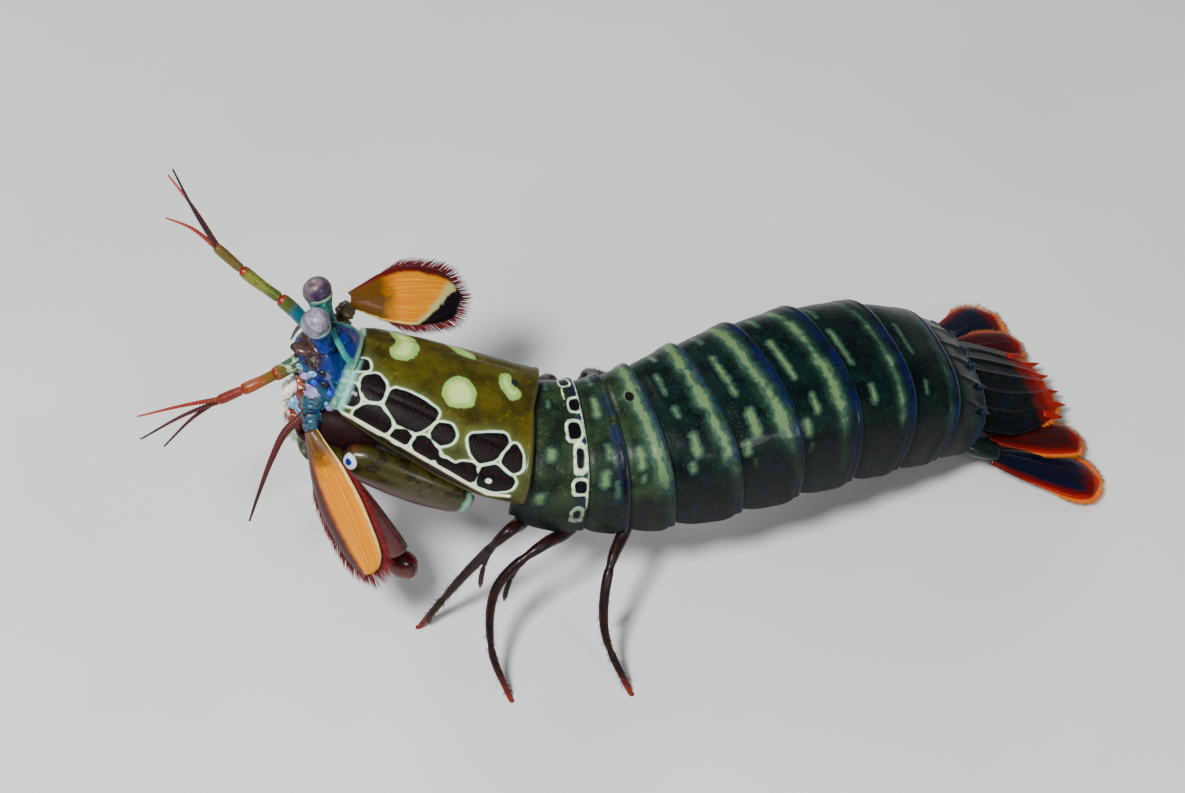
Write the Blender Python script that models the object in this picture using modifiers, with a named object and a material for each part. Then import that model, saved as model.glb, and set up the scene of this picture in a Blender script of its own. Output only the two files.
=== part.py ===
"""A peacock mantis shrimp, life size, standing on its walking legs with the body bent to one side.

The animal is drawn in millimetres along the middle line of its body: s runs back from the front of the
carapace, y to the animal's right and z up from the line.  Each mesh is made metres when it becomes an object.
"""
import math

import bmesh
import bpy
import numpy as np
from mathutils import Matrix, Vector

MM = 0.001
GAP = 0.3
# The most that a sharp edge is pushed out, in gaps, when a body is grown by the gap all over
SHARPEST = 1.8
# How the thin fringed plates are joined and cut, as against the stout pieces
STOUT, FRINGED = "EXACT", "MANIFOLD"
LEFT, RIGHT = -1, 1
SIDES = {"left": LEFT, "right": RIGHT}

# The body line: distance back from the carapace front, turn to the right and fall, both in degrees
BODY_LINE = (
    (-10, -8, 20), (0, -8, 24), (15, -8, 26), (29, -3, 18), (37, 8, 9), (43, 14, 5), (49, 19, 2),
    (59, 25, 2), (70, 27, 7), (84, 25, 15), (95, 21, 24), (107, 18, 32), (115, 18, 26), (130, 20, 12),
    (142, 20, 8))
LINE_STEP = 0.5
ANCHOR = 37.5
ANCHOR_HEIGHT = 27.0

# The trunk's section: distance back, half width, crown above the line, depth of the side flaps below it
SECTION = (
    (30, 12.2, 7.2, 5.6), (37.5, 12.5, 7.4, 6.2), (43, 13.0, 7.7, 6.7), (49, 13.8, 8.2, 7.1),
    (59.3, 15.0, 9.0, 7.5), (69.6, 15.6, 9.3, 7.7), (79.9, 15.8, 9.2, 7.5), (90.2, 15.5, 8.7, 6.9),
    (100.2, 14.3, 7.5, 5.6), (109, 12.3, 5.2, 3.8))
TRUNK_SQUARENESS = 2.7
# Points over the back of a trunk or carapace section
ARCH_COUNT = 17
# The hollowed belly from the right flap to the left one, in half widths and flap depths
BELLY = ((0.86, 0.96), (0.76, 0.5), (0.45, 0.36), (0.0, 0.42), (-0.45, 0.36), (-0.76, 0.5), (-0.86, 0.96))
SOMITES = (
    ("thorax_6", 30.0, 37.5), ("thorax_7", 37.5, 43.0), ("thorax_8", 43.0, 49.0),
    ("abdomen_1", 49.0, 58.6), ("abdomen_2", 58.6, 68.7), ("abdomen_3", 68.7, 79.5),
    ("abdomen_4", 79.5, 90.4), ("abdomen_5", 90.4, 100.6), ("abdomen_6", 100.6, 109.0))
# Along one somite: fraction of its length, size of the section, depth of the side flap
PLATE = ((0.0, 0.94, 0.86), (0.12, 0.965, 0.97), (0.4, 0.985, 1.04), (0.72, 1.0, 1.06), (0.9, 1.02, 0.98),
         (1.0, 1.0, 0.9))

# The carapace: distance back, half width, crown, depth of its edge
CARAPACE = ((0.0, 7.6, 5.2, -0.6), (2.0, 8.6, 5.9, -0.2), (6.0, 9.6, 6.6, 0.2), (12.0, 10.7, 7.3, 0.4),
            (19.0, 11.9, 7.8, 0.5), (25.0, 12.6, 8.0, 0.4), (29.8, 12.6, 7.9, 0.0))
CARAPACE_THICKNESS = 1.0
CARAPACE_SQUARENESS = 2.35
GROOVES = (5, ARCH_COUNT - 6)
GROOVE_DEPTH = 0.45
# How far the rear corners reach back beyond the middle, from where they begin to
REAR_LOBE = 1.3
LOBE_START = 19.0
LOBE_MIDDLE = 0.55

FINISHES = {
    "carapace": ((0.08, 0.065, 0.006), 0.35), "rostral_plate": ((0.01, 0.12, 0.14), 0.35),
    "head": ((0.01, 0.12, 0.16), 0.4), "eye": ((0.5, 0.45, 0.55), 0.2),
    "eyestalk": ((0.005, 0.13, 0.16), 0.35), "antennule": ((0.2, 0.22, 0.03), 0.4),
    "antenna": ((0.16, 0.05, 0.02), 0.45),
    "antennal_scale": ((0.9, 0.42, 0.01), 0.45), "maxilliped": ((0.25, 0.4, 0.6), 0.4),
    "claw": ((0.2, 0.01, 0.004), 0.25), "claw_merus": ((0.05, 0.045, 0.004), 0.3),
    "thorax": ((0.03, 0.06, 0.02), 0.35), "abdomen": ((0.006, 0.03, 0.02), 0.3),
    "telson": ((0.004, 0.015, 0.01), 0.3), "uropod": ((0.2, 0.01, 0.01), 0.4),
    "leg": ((0.03, 0.008, 0.008), 0.4), "pleopod": ((0.02, 0.008, 0.03), 0.5)}

for old in list(bpy.data.objects):
    bpy.data.objects.remove(old)

parts = bpy.data.collections.new("mantis_shrimp")
cutters = bpy.data.collections.new("cutters")
bpy.context.scene.collection.children.link(parts)
bpy.context.scene.collection.children.link(cutters)


def smooth(table, column, s):
    """A column of a table read at s, on a curve that never overshoots its rows."""
    xs = np.array([row[0] for row in table], float)
    ys = np.array([row[column] for row in table], float)
    slopes = np.diff(ys) / np.diff(xs)
    ends = np.zeros(len(xs))
    ends[0] = slopes[0]
    ends[-1] = slopes[-1]
    for i in range(1, len(xs) - 1):
        before, after = slopes[i - 1], slopes[i]
        if before * after > 0:
            ends[i] = 2 * before * after / (before + after)
    s = np.clip(s, xs[0], xs[-1])
    i = np.clip(np.searchsorted(xs, s) - 1, 0, len(xs) - 2)
    width = xs[i + 1] - xs[i]
    t = (s - xs[i]) / width
    start = (2 * t**3 - 3 * t**2 + 1) * ys[i] + (t**3 - 2 * t**2 + t) * width * ends[i]
    return start + (3 * t**2 - 2 * t**3) * ys[i + 1] + (t**3 - t**2) * width * ends[i + 1]


def body_line():
    """Stations along the body with their turn, fall and place, the anchor standing over the origin."""
    stations = np.arange(BODY_LINE[0][0], BODY_LINE[-1][0] + LINE_STEP / 2, LINE_STEP)
    turn = np.radians(smooth(BODY_LINE, 1, stations))
    fall = np.radians(smooth(BODY_LINE, 2, stations))
    ways = np.stack([np.cos(fall) * np.cos(turn), np.cos(fall) * np.sin(turn), -np.sin(fall)], 1)
    steps = (ways[1:] + ways[:-1]) / 2 * LINE_STEP
    places = np.concatenate([[np.zeros(3)], np.cumsum(steps, 0)])
    anchor = int(np.argmin(abs(stations - ANCHOR)))
    return stations, turn, fall, places - places[anchor] + np.array([0, 0, ANCHOR_HEIGHT])


STATIONS, TURN, FALL, PLACES = body_line()


def axes(s):
    """Tailward, right and up at s."""
    turn = float(np.interp(s, STATIONS, TURN))
    fall = float(np.interp(s, STATIONS, FALL))
    tailward = Vector((math.cos(fall) * math.cos(turn), math.cos(fall) * math.sin(turn), -math.sin(fall)))
    right = Vector((-math.sin(turn), math.cos(turn), 0))
    return tailward, right, tailward.cross(right)


def place(s, y=0.0, z=0.0):
    """The point at s, y and z, with the line carried on straight past its ends."""
    inside = min(max(s, STATIONS[0]), STATIONS[-1])
    tailward, right, up = axes(inside)
    middle = Vector([float(np.interp(inside, STATIONS, PLACES[:, k])) for k in range(3)])
    return middle + tailward * (s - inside) + right * y + up * z


def places(points):
    return [place(*point) for point in points]


def mirrored(points, side):
    """The places of a right side's points, on either side."""
    return places([(s, side * y, z) for s, y, z in points])


def path(points, count):
    """Points spread evenly along a smooth curve through the given ones."""
    knots = np.array([tuple(point) for point in points], float)
    along = np.concatenate([[0], np.cumsum(np.linalg.norm(np.diff(knots, axis=0), axis=1))])
    slopes = np.gradient(knots, along, axis=0)
    result = []
    for t in np.linspace(0, along[-1], count):
        i = min(max(int(np.searchsorted(along, t)) - 1, 0), len(knots) - 2)
        width = along[i + 1] - along[i]
        u = (t - along[i]) / width
        point = (2 * u**3 - 3 * u**2 + 1) * knots[i] + (u**3 - 2 * u**2 + u) * width * slopes[i]
        point = point + (3 * u**2 - 2 * u**3) * knots[i + 1] + (u**3 - u**2) * width * slopes[i + 1]
        result.append(Vector(point))
    return result


def make(name, bm):
    """Closes the drawing: triangles, faces out, metres, one object."""
    bmesh.ops.remove_doubles(bm, verts=bm.verts[:], dist=0.001)
    bmesh.ops.triangulate(bm, faces=bm.faces[:])
    bmesh.ops.recalc_face_normals(bm, faces=bm.faces[:])
    bmesh.ops.scale(bm, vec=(MM, MM, MM), verts=bm.verts[:])
    mesh = bpy.data.meshes.new(name)
    bm.to_mesh(mesh)
    bm.free()
    obj = bpy.data.objects.new(name, mesh)
    parts.objects.link(obj)
    return obj


def evaluated_mesh(obj):
    bpy.context.view_layer.update()
    graph = bpy.context.evaluated_depsgraph_get()
    return bpy.data.meshes.new_from_object(obj.evaluated_get(graph))


def apply_modifiers(obj):
    mesh = evaluated_mesh(obj)
    obj.modifiers.clear()
    obj.data = mesh
    keep_largest(obj)
    return obj


def keep_largest(obj):
    """Leaves the largest closed surface of the object."""
    bm = bmesh.new()
    bm.from_mesh(obj.data)
    groups = []
    seen = set()
    for start in bm.verts:
        if start in seen:
            continue
        group = {start}
        front = [start]
        while front:
            vert = front.pop()
            for edge in vert.link_edges:
                other = edge.other_vert(vert)
                if other not in group:
                    group.add(other)
                    front.append(other)
        seen |= group
        groups.append(group)
    if len(groups) > 1:
        areas = [sum(face.calc_area() for face in bm.faces if face.verts[0] in group) for group in groups]
        largest = groups[areas.index(max(areas))]
        loose = [vert for vert in bm.verts if vert not in largest]
        bmesh.ops.delete(bm, geom=loose, context="VERTS")
    bmesh.ops.triangulate(bm, faces=bm.faces[:])
    bm.to_mesh(obj.data)
    bm.free()


def boolean(obj, others, operation, solver=STOUT):
    """Cuts or joins with the others, which are then removed."""
    for other in others:
        parts.objects.unlink(other)
        cutters.objects.link(other)
        other.hide_render = True
        other.display_type = "WIRE"
    modifier = obj.modifiers.new("shape", "BOOLEAN")
    modifier.operation = operation
    modifier.operand_type = "COLLECTION"
    modifier.collection = cutters
    modifier.solver = solver
    apply_modifiers(obj)
    for other in others:
        bpy.data.objects.remove(other)
    return obj


def join(name, pieces, solver=STOUT):
    """One closed body from overlapping pieces."""
    base = pieces[0]
    if len(pieces) > 1:
        boolean(base, pieces[1:], "UNION", solver)
    base.name = name
    return base


def grown(obj, amount):
    """A copy that stands proud of the object by the amount all over."""
    bm = bmesh.new()
    bm.from_mesh(obj.data)
    bm.normal_update()
    moves = [(vert, vert.normal * amount * min(vert.calc_shell_factor(), SHARPEST)) for vert in bm.verts]
    for vert, move in moves:
        vert.co += move
    mesh = bpy.data.meshes.new("grown")
    bm.to_mesh(mesh)
    bm.free()
    copy = bpy.data.objects.new("grown", mesh)
    parts.objects.link(copy)
    return copy


def trim(obj, *others, solver=STOUT):
    """Cuts the object back so that it meets the others face to face, a gap apart."""
    for other in others:
        boolean(obj, [grown(other, GAP * MM)], "DIFFERENCE", solver)
    return obj


def loft(name, rings):
    """A closed body through rings of equal count."""
    bm = bmesh.new()
    loops = [[bm.verts.new(point) for point in ring] for ring in rings]
    count = len(rings[0])
    for near, far in zip(loops, loops[1:]):
        for i in range(count):
            j = (i + 1) % count
            bm.faces.new((near[i], near[j], far[j], far[i]))
    bm.faces.new(loops[0][::-1])
    bm.faces.new(loops[-1])
    return make(name, bm)


def read(table, column, fraction):
    """A column of a table read at a fraction of the way, on straight lines between its rows."""
    return float(np.interp(fraction, [row[0] for row in table], [row[column] for row in table]))


def tube(name, points, radii, resolution=1):
    """A tapering round rod: radii are (fraction of the way, radius)."""
    data = bpy.data.curves.new(name, "CURVE")
    data.dimensions = "3D"
    data.bevel_depth = MM
    data.bevel_resolution = resolution
    data.use_fill_caps = True
    spline = data.splines.new("POLY")
    spline.points.add(len(points) - 1)
    for i, (point, where) in enumerate(zip(spline.points, points)):
        point.co = (*(where * MM), 1)
        point.radius = read(radii, 1, i / (len(points) - 1))
    curve = bpy.data.objects.new(name, data)
    parts.objects.link(curve)
    mesh = evaluated_mesh(curve)
    bm = bmesh.new()
    bm.from_mesh(mesh)
    bmesh.ops.remove_doubles(bm, verts=bm.verts[:], dist=1e-6)
    bmesh.ops.triangulate(bm, faces=bm.faces[:])
    bmesh.ops.recalc_face_normals(bm, faces=bm.faces[:])
    bm.to_mesh(mesh)
    bm.free()
    obj = bpy.data.objects.new(name, mesh)
    obj.matrix_world = curve.matrix_world
    parts.objects.link(obj)
    bpy.data.objects.remove(curve)
    obj.name = name
    return obj


def limb(name, points, profile, flat, sides=8):
    """A limb of oval section: profile rows are (fraction of the way, half width, half thickness)."""
    rings = []
    last = len(points) - 1
    for i, point in enumerate(points):
        way = (points[min(i + 1, last)] - points[max(i - 1, 0)]).normalized()
        across = (flat - way * flat.dot(way)).normalized()
        thick = way.cross(across)
        width = read(profile, 1, i / last)
        depth = read(profile, 2, i / last)
        turns = [2 * math.pi * k / sides for k in range(sides)]
        rings.append([point + across * width * math.cos(a) + thick * depth * math.sin(a) for a in turns])
    return loft(name, rings)


def ball(name, centre, radii, way, up, segments=10, rings=7):
    """An ovoid with its first radius along way and its third along up."""
    side = up.cross(way).normalized()
    top = way.normalized().cross(side)
    turn = Matrix((way.normalized(), side, top)).transposed().to_4x4()
    bm = bmesh.new()
    bmesh.ops.create_uvsphere(bm, u_segments=segments, v_segments=rings, radius=1.0)
    bmesh.ops.scale(bm, vec=radii, verts=bm.verts[:])
    bmesh.ops.transform(bm, matrix=Matrix.Translation(centre) @ turn, verts=bm.verts[:])
    return make(name, bm)


SPINE_TIP = 0.12


def spine(base, tip, radius, sides=5):
    """A pointed spine from its sunk root to its tip."""
    way = tip - base
    turn = way.to_track_quat("Z", "Y").to_matrix().to_4x4()
    bm = bmesh.new()
    bmesh.ops.create_cone(
        bm, cap_ends=True, segments=sides, radius1=radius, radius2=radius * SPINE_TIP, depth=way.length)
    bmesh.ops.transform(bm, matrix=Matrix.Translation(base + way / 2) @ turn, verts=bm.verts[:])
    return make("spine", bm)


LEAF_CELLS = 4


def leaf(name, root, tip, up, outline, thickness, cup, bow, steps, fringe=0.0, fringe_from=0.0):
    """A thin plate: outline rows are (fraction of the way, half width one side, half width the other).

    The fringe is a row of tapered vanes round the free edge, drawn in the plate's own surface.
    """
    cells = LEAF_CELLS
    way = tip - root
    length = way.length
    way = way.normalized()
    up = (up - way * up.dot(way)).normalized()
    across = way.cross(up)
    bm = bmesh.new()
    grid = []
    for i in range(steps + 1):
        f = i / steps
        centre = root + way * length * f + up * bow * math.sin(math.pi * f)
        row = []
        for j in range(cells + 1):
            v = 2 * j / cells - 1
            width = read(outline, 1 if v < 0 else 2, f)
            push = 0.0
            on_edge = j in (0, cells) or i == steps
            edge_count = i if j in (0, cells) else steps + j
            if fringe and on_edge and f > fringe_from and edge_count % 2:
                push = fringe
            outward = across * v * 0.9 + way * (0.55 if i < steps else 1.0)
            point = centre + across * v * width - up * cup * v * v + outward.normalized() * push
            row.append(bm.verts.new(point))
        grid.append(row)
    for near, far in zip(grid, grid[1:]):
        for j in range(cells):
            a, b, c, d = near[j], near[j + 1], far[j + 1], far[j]
            halves = ((a, b, d), (b, c, d)) if j < cells / 2 else ((a, b, c), (a, c, d))
            for half in halves:
                bm.faces.new(half)
    bmesh.ops.scale(bm, vec=(MM, MM, MM), verts=bm.verts[:])
    mesh = bpy.data.meshes.new(name)
    bm.to_mesh(mesh)
    bm.free()
    obj = bpy.data.objects.new(name, mesh)
    parts.objects.link(obj)
    shell = obj.modifiers.new("thickness", "SOLIDIFY")
    shell.thickness = thickness * MM
    shell.offset = 0
    apply_modifiers(obj)
    bm = bmesh.new()
    bm.from_mesh(obj.data)
    bmesh.ops.recalc_face_normals(bm, faces=bm.faces[:])
    bm.to_mesh(obj.data)
    bm.free()
    return obj


def stand_on_floor(obj):
    """Cuts the object off flat at the floor."""
    bm = bmesh.new()
    bm.from_mesh(obj.data)
    everything = bm.verts[:] + bm.edges[:] + bm.faces[:]
    cut = bmesh.ops.bisect_plane(
        bm, geom=everything, plane_co=(0, 0, 0), plane_no=(0, 0, 1), clear_inner=True)
    rim = [item for item in cut["geom_cut"] if isinstance(item, bmesh.types.BMEdge)]
    if rim:
        bmesh.ops.edgeloop_fill(bm, edges=rim)
    bmesh.ops.triangulate(bm, faces=bm.faces[:])
    bm.to_mesh(obj.data)
    bm.free()
    return obj


def paint(obj):
    """The finish of the longest name that starts the object's own."""
    key = max((key for key in FINISHES if obj.name.startswith(key)), key=len)
    colour, roughness = FINISHES[key]
    material = bpy.data.materials.new(obj.name)
    material.use_nodes = True
    shader = material.node_tree.nodes["Principled BSDF"]
    shader.inputs["Base Color"].default_value = (*colour, 1)
    shader.inputs["Roughness"].default_value = roughness
    shader.inputs["Metallic"].default_value = 0.0
    obj.data.materials.clear()
    obj.data.materials.append(material)
    obj.data.shade_smooth()
    obj.data.set_sharp_from_angle(angle=math.radians(40))


def arch(half_width, crown, depth, squareness):
    """Points over the back from the left edge to the right one, as (y, z)."""
    points = []
    for k in range(ARCH_COUNT):
        turn = math.pi * k / (ARCH_COUNT - 1)
        across = math.copysign(abs(math.cos(turn)) ** (2 / squareness), math.cos(turn))
        points.append((-half_width * across, -depth + (crown + depth) * math.sin(turn) ** (2 / squareness)))
    return points


def trunk_ring(s, scale, flap):
    """A somite's section: over the back from flap to flap, then under the belly."""
    half = smooth(SECTION, 1, s) * scale
    crown = smooth(SECTION, 2, s) * scale
    depth = smooth(SECTION, 3, s) * flap
    ring = arch(half, crown, depth, TRUNK_SQUARENESS) + [(half * y, -depth * z) for y, z in BELLY]
    return [place(s, y, z) for y, z in ring]


def somite(name, start, end):
    """One ring of the trunk, its rear edge standing over the front of the next."""
    front = start + GAP / 2
    length = end - start - GAP
    return loft(name, [trunk_ring(front + length * f, scale, flap) for f, scale, flap in PLATE])


def carapace():
    """The shield over the front of the trunk, with two long grooves and a hollowed rear edge."""
    rings = []
    for s, half, crown, depth in CARAPACE:
        lobe = REAR_LOBE * max(0.0, (s - LOBE_START) / (CARAPACE[-1][0] - LOBE_START))
        outer = arch(half, crown, depth, CARAPACE_SQUARENESS)
        for k in GROOVES:
            outer[k] = (outer[k][0], outer[k][1] - GROOVE_DEPTH)
        inner = arch(half - CARAPACE_THICKNESS * 0.8, crown - CARAPACE_THICKNESS, depth, CARAPACE_SQUARENESS)
        section = outer + inner[::-1]
        rings.append([place(s + lobe * (abs(y) / half - LOBE_MIDDLE), y, z) for y, z in section])
    return loft("carapace", rings)


# The rostral plate: distance back, height and half width, then its thickness and how far its sides droop
ROSTRAL_PLATE = ((-0.35, 6.0, 3.0), (-1.6, 6.9, 2.9), (-3.4, 8.0, 1.9), (-4.9, 8.8, 0.6))
ROSTRAL_THICKNESS = 0.9
ROSTRAL_DROOP = 0.25


def rostral_plate():
    """The small three-cornered plate before the carapace."""
    rings = []
    for s, z, half in ROSTRAL_PLATE:
        top = [(y * half, z - ROSTRAL_DROOP * y * y * half) for y in (-1, -0.5, 0, 0.5, 1)]
        bottom = [(y, h - ROSTRAL_THICKNESS) for y, h in reversed(top)]
        rings.append([place(s, y, h) for y, h in top + bottom])
    return loft("rostral_plate", rings)


# Round rows of a soft body: distance back, height of the middle, half width and half height
HEAD = ((-0.15, -1.2, 6.2, 4.8), (-2.5, 0.0, 6.2, 5.2), (-4.8, 1.4, 5.4, 5.0), (-6.6, 2.3, 4.2, 4.0),
        (-8.2, 2.9, 2.4, 2.2))
CHEST = ((0.15, -1.6, 5.9, 5.0), (2.0, -1.6, 6.4, 6.4), (6.0, -1.6, 7.2, 7.6), (14.0, -1.6, 8.0, 8.2),
         (22.0, -1.4, 8.7, 8.4), (29.8, -0.8, 9.8, 8.0))


def round_body(name, rows, sides):
    turns = [2 * math.pi * k / sides for k in range(sides)]
    return loft(name, [[place(s, half * math.cos(a), z + height * math.sin(a)) for a in turns]
                       for s, z, half, height in rows])


def head(*neighbours):
    """The head before the carapace, with the eye plate above and the mouth below."""
    pieces = [round_body("head", HEAD, 12)]
    tailward, right, up = axes(-5)
    pieces.append(ball("eye_plate", place(-5.0, 0, 6.4), (1.8, 3.2, 1.5), tailward, up, 8, 5))
    pieces.append(ball("upper_lip", place(-6.0, 0, -2.6), (1.8, 1.9, 1.9), tailward, up, 7, 5))
    for side in SIDES.values():
        palp = path(places(((-4.5, side * 2.6, -2.0), (-7.0, side * 3.4, -3.4), (-7.6, side * 2.2, -5.4))), 6)
        pieces.append(tube("palp", palp, ((0, 1.2), (0.6, 1.0), (1, 0.5)), 0))
    return trim(join("head", pieces), *neighbours)


def thorax_front(*neighbours):
    """The trunk under the carapace."""
    return trim(round_body("thorax_front", CHEST, 16), *neighbours)


# Each eye's centre as (s, y, z), and its radii along, across and up
EYES = {LEFT: (-7.7, -3.0, 12.2), RIGHT: (-8.7, 3.0, 12.2)}
EYE_RADII = (2.05, 2.2, 2.35)


def eye(name, side):
    tailward, right, up = axes(-8)
    way = (right * side * 0.5 - tailward * 0.8 + up * 0.3).normalized()
    return ball(name, place(*EYES[side]), EYE_RADII, way, up, 12, 9)


def eyestalk(name, side, *neighbours):
    s, y, z = EYES[side]
    route = ((-4.9, side * 1.8, 6.6), (s * 0.55 - 2.2, y * 0.78, 9.2), (s + 0.3, y, z - 0.4))
    widths = ((0, 0.95, 0.95), (0.5, 1.25, 1.2), (1, 1.75, 1.6))
    stalk = limb(name, path(places(route), 5), widths, axes(-6)[1])
    return trim(stalk, *neighbours)


# The small feelers: their base joints, then where each whip bends and ends
ANTENNULES = {
    "left": (((-7.2, -2.3, 2.6), (-8.9, -3.9, 0.9), (-11.6, -7.0, 0.3), (-17.0, -10.0, -4.2)),
             (((-20.6, -11.8, -7.2), (-25.9, -15.0, -12.7)), ((-21.0, -12.4, -4.2), (-27.5, -16.5, -5.5)),
              ((-19.6, -11.2, -8.6), (-22.2, -13.6, -14.5)))),
    "right": (((-7.4, 2.3, 4.2), (-11.0, 2.5, 6.9), (-18.2, 3.0, 10.0), (-24.8, 3.5, 13.5)),
              (((-29.6, 4.0, 19.2), (-34.1, 5.0, 24.7)), ((-29.3, 4.2, 14.9), (-32.9, 4.0, 15.3)),
               ((-29.8, 6.0, 17.4), (-34.6, 8.8, 19.0))))}
# Radii along the three base joints, and along a whip
ANTENNULE_JOINTS = ((0, 1.0), (0.3, 1.05), (0.36, 0.75), (0.42, 1.0), (0.68, 0.85), (0.73, 0.6), (0.79, 0.85),
                    (1, 0.75))
ANTENNULE_WHIP = ((0, 0.42), (0.6, 0.33), (1, 0.16))


def antennule(name, side, *neighbours):
    joints, whips = ANTENNULES[side]
    points = path(places(joints), 13)
    pieces = [tube(name, points, ANTENNULE_JOINTS)]
    for k, bends in enumerate(whips):
        spread = Vector((0, 0, 0.35 * (k - 1)))
        start = place(*joints[-1]) + (place(*joints[-2]) - place(*joints[-1])).normalized() * 0.8 + spread
        points = path([start] + places(bends), 8)
        pieces.append(tube("whip", points, ANTENNULE_WHIP, 0))
    return trim(join(name, pieces), *neighbours)


# The large feelers: base on the head, seat of the scale, then the whip
ANTENNAE = {
    "left": (((-3.2, -4.6, -0.4), (-3.2, -7.2, -2.2), (-1.9, -9.4, -4.0)),
             ((-3.6, -7.4, -3.4), (-5.4, -9.0, -7.0), (-5.9, -11.6, -11.8), (-5.8, -14.0, -15.9),
              (-5.4, -17.0, -21.3))),
    "right": (((-3.2, 4.6, 2.2), (-3.4, 6.6, 4.4), (-3.0, 8.0, 6.2)),
              ((-4.2, 6.4, 3.2), (-5.8, 9.0, 0.0), (-7.2, 11.6, -5.2), (-8.0, 14.0, -11.0),
               (-8.0, 16.4, -17.0)))}
ANTENNA_BASE = ((0, 2.1), (0.5, 2.0), (0.8, 1.5), (1, 1.2))
ANTENNA_WHIP = ((0, 1.0), (0.25, 0.8), (0.3, 0.45), (0.7, 0.35), (1, 0.18))


def antenna(name, side, *neighbours):
    base, whip = ANTENNAE[side]
    pieces = [tube(name, path(places(base), 6), ANTENNA_BASE, 2)]
    pieces.append(tube("whip", path(places(whip), 13), ANTENNA_WHIP, 0))
    return trim(join(name, pieces), *neighbours)


# The paddles of the large feelers: root, tip and the way each faces
SCALES = {
    "left": ((-1.5, -10.2, -4.6), (14.4, -23.6, -13.2), (-0.55, -0.75, 0.35)),
    "right": ((-2.6, 8.8, 6.6), (12.6, 17.4, 6.4), (0.1, -0.55, 0.83))}
SCALE_OUTLINE = ((0, 0.9, 0.9), (0.1, 1.9, 1.9), (0.3, 3.8, 3.4), (0.55, 4.7, 4.2), (0.78, 4.3, 3.9),
                 (0.92, 3.4, 3.2), (1, 2.3, 2.2))


def antennal_scale(name, side, *neighbours):
    root, tip, facing = SCALES[side]
    blade = leaf(name, place(*root), place(*tip), Vector(facing), SCALE_OUTLINE, 0.6, cup=0.8, bow=0.8,
                 steps=15, fringe=2.2, fringe_from=0.35)
    return trim(blade, *neighbours, solver=FRINGED)


# The three small grasping limbs of each side: root, elbow, wrist and hand
MAXILLIPEDS = (
    ("maxilliped_3", ((2.6, 3.6, -7.0), (-1.0, 6.2, -8.6), (-3.6, 5.8, -6.4), (-5.4, 4.2, -5.6)), 1.55),
    ("maxilliped_4", ((5.6, 3.6, -8.0), (1.0, 6.4, -11.6), (-2.2, 6.0, -10.6), (-4.4, 4.0, -9.2)), 1.6),
    ("maxilliped_5", ((8.8, 3.6, -8.4), (4.0, 6.4, -14.4), (0.0, 6.0, -14.6), (-2.6, 4.0, -13.0)), 1.5))
MAXILLIPED_ARM = ((0, 1.1), (0.3, 0.95), (0.45, 0.75), (0.6, 0.9), (0.8, 0.65), (1, 0.8))


def maxilliped(name, side, points, hand, *neighbours):
    points = mirrored(points, side)
    arm = tube(name, path(points, 8), MAXILLIPED_ARM)
    tailward, right, up = axes(0)
    palm = ball("palm", points[-1], (hand, hand * 0.62, hand * 1.1), tailward, up, 7, 5)
    claw = spine(points[-1] + up * hand * 0.4, points[-1] - up * hand * 1.7 - tailward * 0.9, 0.4)
    return trim(join(name, [arm, palm, claw]), *neighbours)


# The folded striking claws, right side; the left one is the mirror image
MERUS = ((24.4, 10.6, -5.8), (14.0, 11.4, -4.9), (3.8, 11.6, -4.3))
MERUS_WIDTHS = ((0, 1.7, 1.3), (0.15, 2.9, 2.0), (0.5, 3.5, 2.4), (0.85, 3.3, 2.3), (1, 2.1, 1.7))
HAND_WIDTHS = ((0, 1.7, 1.4), (0.12, 2.3, 1.7), (0.45, 2.5, 1.8), (0.8, 2.2, 1.7), (1, 1.9, 1.5))
ISCHIUM = ((19.0, 7.6, -6.2), (22.5, 9.2, -6.4), (24.0, 10.6, -6.0))
WRIST = (2.6, 11.8, -6.6)
PROPODUS = ((3.6, 12.0, -8.4), (11.5, 12.6, -14.6), (19.4, 13.2, -20.4))
COMB_TOOTH = 0.35
HEEL = (20.6, 13.4, -22.6)
FINGER = ((20.8, 13.4, -24.0), (14.5, 13.2, -22.0), (7.6, 12.9, -16.9))


def claw(side_name, side, trunk, shield):
    """Merus, wrist, hand and club of one striking claw."""
    tailward, right, up = axes(12)
    merus = limb("merus", path(mirrored(MERUS, side), 8), MERUS_WIDTHS, up)
    ischium = tube("ischium", path(mirrored(ISCHIUM, side), 5), ((0, 1.9), (1, 1.7)))
    merus = trim(join(f"claw_merus_{side_name}", [merus, ischium]), trunk, shield)
    wrist = ball(f"claw_wrist_{side_name}", mirrored([WRIST], side)[0], (2.5, 2.1, 2.9), tailward, up, 9, 7)
    trim(wrist, merus)
    pieces = [limb("hand", path(mirrored(PROPODUS, side), 8), HAND_WIDTHS, up + tailward * 0.6)]
    for point in path(mirrored(PROPODUS, side), 9)[3:7]:
        pieces.append(spine(point - up * 1.5, point - up * 3.2 + tailward * 0.3, COMB_TOOTH))
    hand = trim(join(f"claw_hand_{side_name}", pieces), wrist, merus)
    club = ball("club", mirrored([HEEL], side)[0], (2.9, 2.2, 2.5), tailward - up * 0.5, up, 10, 8)
    finger = tube("finger", path(mirrored(FINGER, side), 8), ((0, 1.5), (0.3, 1.2), (0.7, 0.8), (1, 0.3)))
    trim(join(f"claw_club_{side_name}", [club, finger]), hand)
    return merus, wrist


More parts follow.
